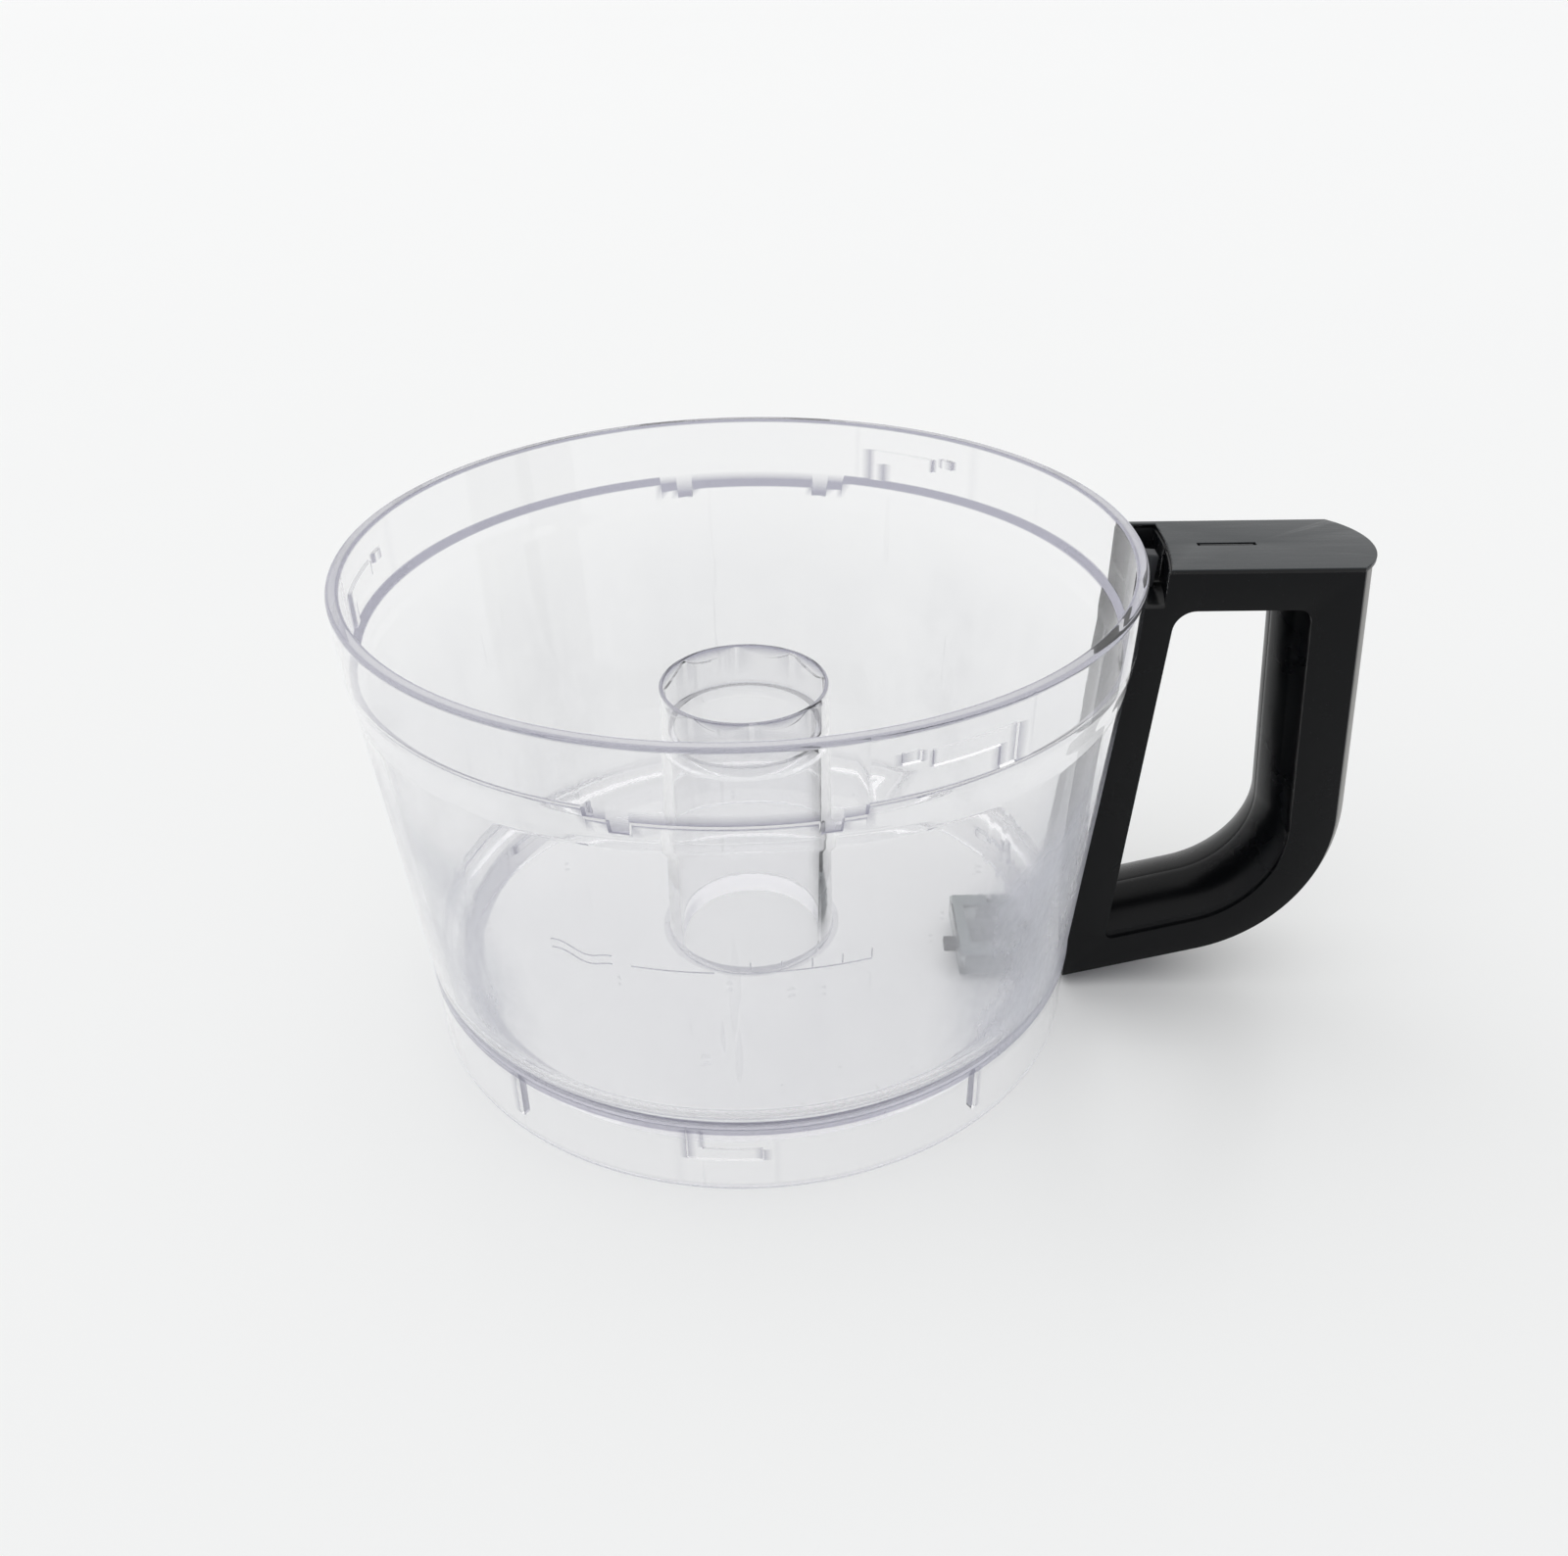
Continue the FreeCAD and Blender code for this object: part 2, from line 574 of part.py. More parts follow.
def pushrod():
    """Rod with a flat blade above its shoulder and a slanted tip that meets the slide."""
    pin = rod(ROD_RADIUS, (0, 0, 8), (0, 0, SHOULDER_S + 1))
    blade = box((-BLADE[0], BLADE[0]), (-BLADE[1], BLADE[1]), (SHOULDER_S, BLADE_TOP_S))
    whole = on_rod(pin.fuse([blade, tenon(0)]))
    ramp = RAMP_TOP_Z + 0.25 + RAMP_X
    below = slab([(90, ramp - 90, 0), (112, ramp - 112, 0), (112, -30, 0), (90, -30, 0)], (-9, 9))
    return whole.cut(below)


def lid_tab_pusher():
    """Grey block in the pocket that the lid's tab presses down."""
    block = box((-2.5, 0.9), (-2.5, 2.5), (BLADE_TOP_S, PUSHER_TOP_S))
    top_edges = [e for e in block.Edges if min(v.Z for v in e.Vertexes) > PUSHER_TOP_S - 0.01]
    block = block.makeFillet(0.6, top_edges)
    return on_rod(block.cut(tenon(CLEARANCE)))


def guide_block(clearance):
    """Outside of the bush block; both halves hold its ends in grooves."""
    low, high = GUIDE_S
    x = (-2.6 - clearance, 3.4 + clearance)
    y = (-12.6 - clearance, 12.6 + clearance)
    return on_rod(box(x, y, (low - clearance, high + clearance)))


def rod_guide():
    """Bush block that guides the rod and seats its spring."""
    bore = rod(ROD_RADIUS + CLEARANCE, (0, 0, GUIDE_S[0] - 1), (0, 0, GUIDE_S[1] + 1))
    return guide_block(0).cut(on_rod(bore))


def pushrod_spring():
    """Spring that lifts the rod."""
    length = SHOULDER_S - GUIDE_S[1]
    spring = coil(2.3, COIL_WIRE, length, 11)
    spring.translate(V(0, 0, GUIDE_S[1]))
    return on_rod(spring)


def interlock_slide():
    """Slide with a ramp under the rod and a nose that reaches the switch of the motor base."""
    slot_end, slot_low, slot_high = SPRING_SLOT
    plate = box((SLIDE_X, BOX_X[1] - 1.0), (-7.4, 7.4), SLIDE_Z)
    slot = box((SLIDE_X - 1, slot_end), (slot_low, slot_high), (0, 12))
    bar = box((BOX_X[1] - 2, 96.0), (-4.6, 4.6), SLIDE_Z)
    nose = box((NOSE_X, SLIDE_X + 1), NOSE_Y, SLIDE_Z)
    ramp_corners = [
        (95.0, SLIDE_Z[0] + 1.2, 0),
        (98.5, SLIDE_Z[0] + 1.2, 0),
        (100.0, SLIDE_Z[1] + 0.2, 0),
        (RAMP_END_X, SLIDE_Z[1] + 0.2, 0),
        (RAMP_END_X, RAMP_TOP_Z + RAMP_X - RAMP_END_X, 0),
        (RAMP_X, RAMP_TOP_Z, 0),
        (RAMP_X - 0.8, RAMP_TOP_Z, 0),
        (RAMP_X - 0.8, SLIDE_Z[1] + 1, 0),
        (95.0, SLIDE_Z[1] + 1, 0),
    ]
    ramp = slab(ramp_corners, (-4.6, 4.6))
    return plate.cut(slot).fuse([bar, nose, ramp])


def slide_spring():
    """Spring that pushes the slide back out."""
    inner_wall = BOX_X[0] + BOX_WALL
    slot_end, slot_low, slot_high = SPRING_SLOT
    spring = coil(1.15, COIL_WIRE, slot_end - inner_wall, 8)
    spring.rotate(V(0, 0, 0), V(0, 1, 0), 90)
    spring.translate(V(inner_wall, (slot_low + slot_high) / 2, sum(SLIDE_Z) / 2))
    return spring


def interlock_box():
    """Tray under the floor that holds the slide."""
    inner_x = (BOX_X[0] + BOX_WALL, BOX_X[1] - BOX_WALL)
    side = BOX_HALF - BOX_WALL
    tray = box(BOX_X, (-BOX_HALF, BOX_HALF), BOX_Z)
    room = box(inner_x, (-side, side), (BOX_Z[0] - 1, SLIDE_Z[1] + 0.3))
    nose_slot = box((BOX_X[0] - 1, inner_x[0] + 1), (NOSE_Y[0] - 0.3, NOSE_Y[1] + 0.3), (0, SLIDE_Z[1] + 0.3))
    mouth = box((inner_x[1] - 1, BOX_X[1] + 1), (-7.7, 7.7), (0, SLIDE_Z[1] + 0.3))
    tray = tray.cut([room, nose_slot, mouth])
    additions = []
    for sign in (-1, 1):
        guide = sorted((sign * 7.7, sign * 8.9))
        additions.append(box((SLIDE_X, inner_x[1] + 0.5), guide, (BOX_Z[0], SLIDE_Z[1] + 0.5)))
    for x, y in BOX_SCREWS:
        additions.append(rod(2.8, (x, y, BOX_Z[0]), (x, y, SLIDE_Z[1] + 0.5)))
    holes = [rod(SCREW_RADIUS + CLEARANCE, (x, y, 0), (x, y, 12)) for x, y in BOX_SCREWS]
    return tray.fuse(additions).cut(holes)


def interlock_box_cover():
    """Plate that closes the tray from below."""
    head_radius, head_height = BOX_HEAD
    plate = box(BOX_X, (-BOX_HALF, BOX_HALF), (COVER_Z, BOX_Z[0]))
    holes = []
    for x, y in BOX_SCREWS:
        holes.append(rod(SCREW_RADIUS + CLEARANCE, (x, y, 0), (x, y, 12)))
        holes.append(rod(head_radius + CLEARANCE, (x, y, 0), (x, y, COVER_Z + head_height)))
    return plate.cut(holes)


def box_gasket():
    """Soft ring between the tray and the floor."""
    z = (BOX_Z[1], FLOOR_BOTTOM_Z)
    ring = box((BOX_X[0] + 0.6, BOX_X[1] - 1.2), (-14.8, 14.8), z)
    room = box((BOX_X[0] + 3.6, BOX_X[1] - 4.2), (-9.6, 9.6), (0, 20))
    holes = [rod(SCREW_RADIUS + CLEARANCE, (x, y, 0), (x, y, 20)) for x, y in BOX_SCREWS]
    return ring.cut([room] + holes)


def box_screws():
    """Screws that hold the cover, the tray and the gasket to the floor."""
    head_radius, head_height = BOX_HEAD
    screws = []
    for x, y in BOX_SCREWS:
        seat = COVER_Z + head_height
        shank = rod(SCREW_RADIUS, (x, y, seat), (x, y, FLOOR_BOTTOM_Z + 2.6))
        head = rod(head_radius, (x, y, COVER_Z), (x, y, seat))
        socket = box((x - 1.5, x + 1.5), (y - 0.35, y + 0.35), (COVER_Z - 1, COVER_Z + 0.7))
        screws.append(shank.fuse(head).cut(socket))
    return Part.makeCompound(screws)


def main():
    """Build and write every sub-part."""
    os.makedirs("parts", exist_ok=True)
    write("bowl", make_bowl())
    trim = handle_trim()
    blank = handle_blank(trim)
    write("handle_shell_near", handle_shell(blank, -1))
    write("handle_shell_far", handle_shell(blank, 1))
    write("spine_trim", trim)
    write("handle_cap", handle_cap())
    write("handle_screws", handle_screws())
    write("screw_plugs", screw_plugs())
    write("lid_tab_pusher", lid_tab_pusher())
    write("pushrod", pushrod())
    write("rod_guide", rod_guide())
    write("pushrod_spring", pushrod_spring())
    write("interlock_slide", interlock_slide())
    write("slide_spring", slide_spring())
    write("interlock_box", interlock_box())
    write("interlock_box_cover", interlock_box_cover())
    write("box_gasket", box_gasket())
    write("box_screws", box_screws())


main()
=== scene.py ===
"""Looks of a food processor's work bowl: clear bowl, black loop handle, lid interlock."""

import logging
import math
from dataclasses import dataclass
from enum import Enum
from typing import Iterable, Sequence

import bmesh
import bpy
from mathutils import Matrix, Vector


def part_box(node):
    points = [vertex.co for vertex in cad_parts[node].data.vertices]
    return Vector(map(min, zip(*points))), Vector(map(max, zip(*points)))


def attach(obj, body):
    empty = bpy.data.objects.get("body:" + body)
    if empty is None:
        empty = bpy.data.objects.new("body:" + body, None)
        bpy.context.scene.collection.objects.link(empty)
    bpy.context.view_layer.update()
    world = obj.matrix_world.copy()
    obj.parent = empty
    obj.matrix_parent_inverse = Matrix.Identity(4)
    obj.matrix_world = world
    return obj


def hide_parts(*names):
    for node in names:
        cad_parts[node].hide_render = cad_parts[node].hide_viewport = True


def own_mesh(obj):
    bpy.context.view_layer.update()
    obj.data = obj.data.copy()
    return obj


MM = 0.001
EDGE_SHADE = "edge"  # point attribute of painted violet grey shade along the clear plastic's edges
WELD = 2e-6  # points of a CAD mesh nearer than this become one
BEVEL_FROM = math.radians(40)
SMOOTH_TO = math.radians(35)
TAPER = 0.0873  # slope of the bowl's wall
WALL_AT_ZERO = 95.37  # its outer radius at the table's height, in millimetres
FIXED = "bowl_and_handle"  # the body that doesn't move
LOG = logging.getLogger("work_bowl")
Colour = tuple[float, float, float, float]


# ---------------------------------------------------------------- shader tools
class Socket:
    """A socket with arithmetic: an expression on values adds its Math nodes."""

    def __init__(self, graph: "Graph", link: bpy.types.NodeSocket) -> None:
        """Wrap an output socket of a graph."""
        self.graph = graph
        self.link = link

    def _math(self, operation: str, *values: object) -> "Socket":
        """Add one Math node with these values."""
        inputs = dict(enumerate(values))
        return self.graph.node("ShaderNodeMath", {"operation": operation}, inputs)

    def __add__(self, other: object) -> "Socket":
        """self + other."""
        return self._math("ADD", self, other)

    def __radd__(self, other: object) -> "Socket":
        """other + self."""
        return self._math("ADD", other, self)

    def __sub__(self, other: object) -> "Socket":
        """self - other."""
        return self._math("SUBTRACT", self, other)

    def __rsub__(self, other: object) -> "Socket":
        """other - self."""
        return self._math("SUBTRACT", other, self)

    def __mul__(self, other: object) -> "Socket":
        """self * other."""
        return self._math("MULTIPLY", self, other)

    def __rmul__(self, other: object) -> "Socket":
        """other * self."""
        return self._math("MULTIPLY", other, self)

    def __pow__(self, other: object) -> "Socket":
        """self ** other."""
        return self._math("POWER", self, other)

    def smooth(self, low: float, high: float, start: float = 0.0, end: float = 1.0) -> "Socket":
        """Map low..high smoothly to start..end and hold the ends.

        Args:
            low: value up to which the result is start.
            high: value from which the result is end.
            start: result at the low side.
            end: result at the high side.

        Returns:
            The mapped value.
        """
        settings = {"interpolation_type": "SMOOTHSTEP"}
        values = {"Value": self, "From Min": low, "From Max": high, "To Min": start, "To Max": end}
        return self.graph.node("ShaderNodeMapRange", settings, values)


class Graph:
    """One material's or world's node tree."""

    def __init__(self, tree: bpy.types.NodeTree) -> None:
        """Empty the tree and keep it."""
        self.tree = tree
        tree.nodes.clear()

    def node(self, kind: str, settings: dict[str, object] | None = None,
             inputs: dict[object, object] | None = None, output: object = 0) -> Socket:
        """Add a node.

        Args:
            kind: the node's type.
            settings: its properties.
            inputs: values or Sockets by input name or number.
            output: name or number of the output to return.

        Returns:
            The chosen output.
        """
        made = self.tree.nodes.new(kind)
        for name, value in (settings or {}).items():
            setattr(made, name, value)
        for name, value in (inputs or {}).items():
            socket = made.inputs[name]
            if isinstance(value, Socket):
                self.tree.links.new(value.link, socket)
            else:
                socket.default_value = value
        return Socket(self, made.outputs[output] if made.outputs else None)

    def place(self, stretch: Sequence[float] = (1, 1, 1),
              turn: Sequence[float] = (0, 0, 0)) -> Socket:
        """Object coordinates, stretched and turned.

        Args:
            stretch: scale along each axis.
            turn: rotation about each axis in radians.

        Returns:
            The vector.
        """
        where = self.node("ShaderNodeTexCoord", output="Object")
        values = {"Vector": where, "Scale": tuple(stretch), "Rotation": tuple(turn)}
        return self.node("ShaderNodeMapping", {}, values)

    def axis(self, letter: str) -> Socket:
        """One Object coordinate."""
        where = self.node("ShaderNodeTexCoord", output="Object")
        return self.node("ShaderNodeSeparateXYZ", {}, {0: where}, output=letter)

    def noise(self, where: Socket, scale: float, detail: float = 3.0,
              roughness: float = 0.55) -> Socket:
        """Noise value at a place."""
        values = {"Vector": where, "Scale": scale, "Detail": detail, "Roughness": roughness}
        return self.node("ShaderNodeTexNoise", {}, values)

    def scratches(self, scale: float, turn: Sequence[float]) -> Socket:
        """Mask of fine straight scratches that run one way.

        Args:
            scale: how densely they lie.
            turn: rotation of their direction in radians.

        Returns:
            1 on a scratch, 0 elsewhere.
        """
        where = self.place((1, 1, 0.035), turn)
        bent = self.noise(where, scale, 2.0, 0.5)
        return bent.smooth(0.735, 0.76)

    def mix(self, factor: object, first: object, second: object) -> Socket:
        """Blend two colours."""
        settings = {"data_type": "RGBA", "clamp_factor": True}
        return self.node("ShaderNodeMix", settings, {0: factor, 6: first, 7: second}, output=2)

    def bump(self, height: Socket, distance: float, strength: float = 1.0,
             normal: Socket | None = None) -> Socket:
        """Bump from a height.

        Args:
            height: the height, 0 to 1.
            distance: depth in metres.
            strength: share of the effect.
            normal: a normal that it lies on top of.

        Returns:
            The normal.
        """
        values = {"Height": height, "Distance": distance, "Strength": strength}
        if normal is not None:
            values["Normal"] = normal
        return self.node("ShaderNodeBump", {}, values)


class Finish:
    """Base of the finishes: makes its material once."""

    def material(self, name: str) -> bpy.types.Material:
        """The finish as a material of this name.

        Args:
            name: the material's name.

        Returns:
            The material, made on the first call.
        """
        found = bpy.data.materials.get(name)
        if found:
            return found
        made = bpy.data.materials.new(name)
        made.use_nodes = True
        graph = Graph(made.node_tree)
        surface, volume = self.shade(graph)
        values = {"Surface": surface} if volume is None else {"Surface": surface, "Volume": volume}
        graph.node("ShaderNodeOutputMaterial", {}, values)
        return made

    def shade(self, graph: Graph) -> tuple[Socket, Socket | None]:
        """Surface and volume of the finish.

        Args:
            graph: the material's node tree.

        Returns:
            The surface and the volume.
        """
        raise NotImplementedError


@dataclass(frozen=True)
class ClearPlastic(Finish):
    """Water-clear moulded plastic with violet grey painted shade along its edges, where refraction
    darkens them, hazed by use.
    """

    ior: float = 1.43
    # painted shade: violet grey that the edge attribute mixes into the clear plastic's colour
    edge: Colour = (0.24, 0.235, 0.32, 1.0)
    thick_tint: Colour = (0.70, 0.69, 0.78, 1.0)
    tint_density: float = 9.0
    haze: float = 0.52
    haze_colour: Colour = (0.56, 0.57, 0.62, 1.0)
    shadow: Colour = (0.975, 0.975, 0.975, 1.0)
    film: float = 0.020
    veil: float = 0.10
    scuff: float = 0.10
    foot_fade: tuple[float, float] = (0.016, 0.024)
    top_fade: tuple[float, float] = (0.080, 0.118)
    wall_from: tuple[float, float] = (0.086, 0.090)
    side_from: tuple[float, float] = (0.045, 0.075)
    back_fade: tuple[float, float] = (-0.03, 0.03)

    def shade(self, graph: Graph) -> tuple[Socket, Socket | None]:
        """Glass-like body under a patchy milky film, with painted violet grey edge shade in its
        colour and an absorbing volume.

        Args:
            graph: the material's node tree.

        Returns:
            The surface and the volume.
        """
        height = graph.axis("Z")
        radius = (graph.axis("X") ** 2 + graph.axis("Y") ** 2) ** 0.5
        side = (graph.axis("X") ** 2) ** 0.5
        sides = side.smooth(*self.side_from) * graph.axis("Y").smooth(*self.back_fade, 1.0, 0.12)
        low_wall = height.smooth(*self.foot_fade) * height.smooth(*self.top_fade, 1.0, 0.0)
        low_wall = low_wall * radius.smooth(*self.wall_from)
        clouds = graph.noise(graph.place((1, 1, 0.55)), 26.0, 7.0, 0.68)
        used = graph.noise(graph.place(), 9.0, 2.0, 0.5).smooth(0.38, 0.58)
        haze = low_wall * used * clouds.smooth(0.36, 0.62, 0.35, 1.0) * sides * self.haze
        haze = haze + low_wall * clouds * self.veil
        scuffs = graph.scratches(210.0, (0.3, 0.2, 0.0)) + graph.scratches(170.0, (-0.5, 0.4, 0.9))
        scuffs = scuffs * height.smooth(0.020, 0.115, 1.0, 0.15) * self.scuff
        milky = haze + scuffs + self.film
        # painted shade: the edge attribute darkens the colour to violet grey along edges, corners
        # and ribs
        edges = graph.node("ShaderNodeAttribute", {"attribute_name": EDGE_SHADE}, {}, output="Fac")
        tone = graph.mix(edges, (1.0, 1.0, 1.0, 1.0), self.edge)
        ripple = graph.noise(graph.place((1, 1, 0.4)), 22.0, 1.0)
        grain = graph.noise(graph.place(), 900.0, 2.0)
        normal = graph.bump(ripple, 0.00012, 0.25)
        normal = graph.bump(grain, 0.00001, 0.15, normal)
        clear = graph.node("ShaderNodeBsdfPrincipled", {}, {
            "Base Color": tone, "Transmission Weight": 1.0, "IOR": self.ior,
            "Roughness": haze * 0.2 + 0.008, "Normal": normal}, output="BSDF")
        milk = graph.node("ShaderNodeBsdfPrincipled", {}, {
            "Base Color": self.haze_colour, "Roughness": 0.6, "Normal": normal}, output="BSDF")
        solid = graph.node("ShaderNodeMixShader", {}, {0: milky, 1: clear, 2: milk})
        through = graph.node("ShaderNodeBsdfTransparent", {}, {"Color": self.shadow})
        shadow = graph.node("ShaderNodeLightPath", output="Is Shadow Ray")
        mirrored = graph.node("ShaderNodeLightPath", output="Is Reflection Ray")
        lit = graph.node("ShaderNodeMixShader", {}, {0: mirrored, 1: solid, 2: through})
        surface = graph.node("ShaderNodeMixShader", {}, {0: shadow, 1: lit, 2: through})
        volume = graph.node("ShaderNodeVolumeAbsorption", {}, {
            "Color": self.thick_tint, "Density": self.tint_density})
        return surface, volume


@dataclass(frozen=True)
class MouldedPlastic(Finish):
    """Opaque satin plastic with a fine moulded grain, dust specks and faint scratches."""

    colour: Colour = (0.0022, 0.0025, 0.003, 1.0)
    worn: Colour = (0.05, 0.05, 0.052, 1.0)
    roughness: float = 0.25
    shine: float = 0.16
    grain: float = 0.00002
    wear: float = 0.5

    def shade(self, graph: Graph) -> tuple[Socket, Socket | None]:
        """Principled plastic with varied colour, roughness and bump.

        Args:
            graph: the material's node tree.

        Returns:
            The surface and the volume.
        """
        grain = graph.noise(graph.place(), 1500.0, 2.0)
        mottle = graph.noise(graph.place(), 38.0, 4.0)
        specks = graph.node("ShaderNodeTexVoronoi", {"feature": "F1"},
                            {"Vector": graph.place(), "Scale": 520.0, "Randomness": 1.0})
        dust = (1 - specks.smooth(0.03, 0.11)) * mottle.smooth(0.50, 0.62)
        scratch = graph.scratches(150.0, (0.0, 0.75, 0.2))
        scratch = scratch + graph.scratches(190.0, (0.3, -0.9, 1.1))
        scratch = scratch * mottle.smooth(0.44, 0.60) * self.wear
        colour = graph.mix(dust * 0.35 + scratch * 0.55, self.colour, self.worn)
        normal = graph.bump(grain - scratch * 0.6, self.grain, 0.5)
        rough = mottle.smooth(0.2, 0.8, self.roughness - 0.05, self.roughness + 0.08)
        surface = graph.node("ShaderNodeBsdfPrincipled", {}, {
            "Base Color": colour, "Roughness": rough + scratch * 0.15,
            "Specular IOR Level": self.shine, "Normal": normal}, output="BSDF")
        return surface, None


@dataclass(frozen=True)
class SatinMetal(Finish):
    """Metal brushed along one direction."""

    colour: Colour = (0.46, 0.47, 0.47, 1.0)
    dark: Colour = (0.30, 0.31, 0.32, 1.0)
    roughness: float = 0.30
    brush: tuple[float, float, float] = (1.0, 1.0, 0.02)
    metallic: float = 1.0

    def shade(self, graph: Graph) -> tuple[Socket, Socket | None]:
        """Principled metal with brushed streaks in colour, roughness and bump.

        Args:
            graph: the material's node tree.

        Returns:
            The surface and the volume.
        """
        lines = graph.noise(graph.place(self.brush), 2200.0, 3.0, 0.6)
        tone = graph.noise(graph.place(), 26.0, 3.0)
        colour = graph.mix(lines * 0.5 + tone * 0.5, self.dark, self.colour)
        normal = graph.bump(lines, 0.00001, 0.4)
        surface = graph.node("ShaderNodeBsdfPrincipled", {}, {
            "Base Color": colour, "Metallic": self.metallic,
            "Roughness": lines.smooth(0.2, 0.8, self.roughness - 0.06, self.roughness + 0.10),
            "Normal": normal}, output="BSDF")
        return surface, None


@dataclass(frozen=True)
class CapPlate(Finish):
    """Satin dark grey plate whose sides and sunk mark are black."""

    colour: Colour = (0.034, 0.040, 0.043, 1.0)
    dark: Colour = (0.023, 0.027, 0.030, 1.0)
    side: Colour = (0.003, 0.003, 0.0035, 1.0)
    top_z: float = 0.1394
    roughness: float = 0.30
    sheen: float = 0.35

    def shade(self, graph: Graph) -> tuple[Socket, Socket | None]:
        """Brushed grey on the top face, black below it.

        Args:
            graph: the material's node tree.

        Returns:
            The surface and the volume.
        """
        face = graph.axis("Z").smooth(self.top_z - 0.0003, self.top_z - 0.00005)
        lines = graph.noise(graph.place((0.03, 1.0, 1.0)), 2200.0, 3.0, 0.6)
        tone = graph.noise(graph.place(), 40.0, 3.0)
        top = graph.mix(lines * 0.45 + tone * 0.55, self.dark, self.colour)
        colour = graph.mix(face, self.side, top)
        normal = graph.bump(lines, 0.00001, 0.4)
        surface = graph.node("ShaderNodeBsdfPrincipled", {}, {
            "Base Color": colour, "Metallic": face * self.sheen,
            "Roughness": lines.smooth(0.2, 0.8, self.roughness - 0.05, self.roughness + 0.08),
            "Specular IOR Level": 0.3, "Normal": normal}, output="BSDF")
        return surface, None


@dataclass(frozen=True)
class SmokyPlastic(Finish):
    """Grey translucent plastic of the interlock's box."""

    colour: Colour = (0.30, 0.34, 0.345, 1.0)
    light: Colour = (0.52, 0.56, 0.555, 1.0)
    body: float = 0.24
    clear: Colour = (0.78, 0.82, 0.815, 1.0)
    ior: float = 1.2

    def shade(self, graph: Graph) -> tuple[Socket, Socket | None]:
        """Half clear, half milky grey.

        Args:
            graph: the material's node tree.

        Returns:
            The surface and the volume.
        """
        clouds = graph.noise(graph.place(), 70.0, 3.0)
        grain = graph.noise(graph.place(), 1300.0, 2.0)
        normal = graph.bump(grain, 0.00002, 0.4)
        colour = graph.mix(clouds.smooth(0.35, 0.65), self.colour, self.light)
        milk = graph.node("ShaderNodeBsdfPrincipled", {}, {
            "Base Color": colour, "Roughness": 0.4, "Normal": normal}, output="BSDF")
        clear = graph.node("ShaderNodeBsdfPrincipled", {}, {
            "Base Color": self.clear, "Transmission Weight": 1.0, "IOR": self.ior,
            "Roughness": 0.05, "Normal": normal}, output="BSDF")
        factor = clouds.smooth(0.3, 0.7, self.body - 0.12, self.body + 0.12)
        return graph.node("ShaderNodeMixShader", {}, {0: factor, 1: clear, 2: milk}), None


@dataclass(frozen=True)
class StudioFloor(Finish):
    """Pale, slightly glossy table."""

    colour: Colour = (0.885, 0.89, 0.88, 1.0)
    shade_colour: Colour = (0.87, 0.876, 0.868, 1.0)

    def shade(self, graph: Graph) -> tuple[Socket, Socket | None]:
        """White with a very faint mottle.

        Args:
            graph: the material's node tree.

        Returns:
            The surface and the volume.
        """
        mottle = graph.noise(graph.place(), 2.4, 4.0)
        colour = graph.mix(mottle, self.shade_colour, self.colour)
        surface = graph.node("ShaderNodeBsdfPrincipled", {}, {
            "Base Color": colour, "Roughness": mottle.smooth(0.3, 0.7, 0.29, 0.31)}, output="BSDF")
        return surface, None


class Look(Enum):
    """The finishes that the pieces choose from."""

    CLEAR = ClearPlastic()
    BLACK = MouldedPlastic()
    PLUG = MouldedPlastic(roughness=0.4)
    GREY = MouldedPlastic(colour=(0.045, 0.047, 0.05, 1.0), worn=(0.14, 0.14, 0.14, 1.0),
                          roughness=0.42)
    DARK_GREY = MouldedPlastic(colour=(0.035, 0.037, 0.038, 1.0), worn=(0.12, 0.12, 0.12, 1.0),
                               roughness=0.4)
    SEAL = MouldedPlastic(colour=(0.27, 0.30, 0.30, 1.0), worn=(0.4, 0.42, 0.42, 1.0),
                          roughness=0.6, wear=0.1)
    CAP = CapPlate()
    SPINE = SatinMetal(colour=(0.30, 0.295, 0.28, 1.0), dark=(0.19, 0.185, 0.175, 1.0),
                       roughness=0.36)
    STEEL = SatinMetal(roughness=0.26)
    SMOKE = SmokyPlastic()
    FLOOR = StudioFloor()

    def material(self) -> bpy.types.Material:
        """The material of this finish."""
        return self.value.material("look_" + self.name.lower())


# ---------------------------------------------------------------- mesh tools
def add_object(name: str, mesh: bpy.types.Mesh) -> bpy.types.Object:
    """Put a mesh in the scene.

    Args:
        name: name of the new object.
        mesh: its mesh.

    Returns:
        The object.
    """
    made = bpy.data.objects.new(name, mesh)
    bpy.context.scene.collection.objects.link(made)
    return made


def meshed(work: bmesh.types.BMesh, name: str) -> bpy.types.Mesh:
    """Write a bmesh to a new mesh and free it.

    Args:
        work: the bmesh.
        name: name of the mesh.

    Returns:
        The mesh.
    """
    mesh = bpy.data.meshes.new(name)
    work.to_mesh(mesh)
    work.free()
    return mesh


def evaluated(piece: bpy.types.Object) -> bpy.types.Mesh:
    """A plain mesh of a piece with its modifiers applied.

    Args:
        piece: the piece, which stays as it is.

    Returns:
        The mesh.
    """
    bpy.context.view_layer.update()
    graph = bpy.context.evaluated_depsgraph_get()
    return bpy.data.meshes.new_from_object(piece.evaluated_get(graph))


def dress(piece: bpy.types.Object, look: Look, slot: str, body: str) -> bpy.types.Object:
    """Give a piece its finish and its body.

    Args:
        piece: the piece.
        look: its finish.
        slot: not used.
        body: the body that it rides on.

    Returns:
        The same piece.
    """
    piece.data.materials.clear()
    piece.data.materials.append(look.material())
    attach(piece, body)
    LOG.info("%s rides on %s with %s", piece.name, body, look.name)
    return piece


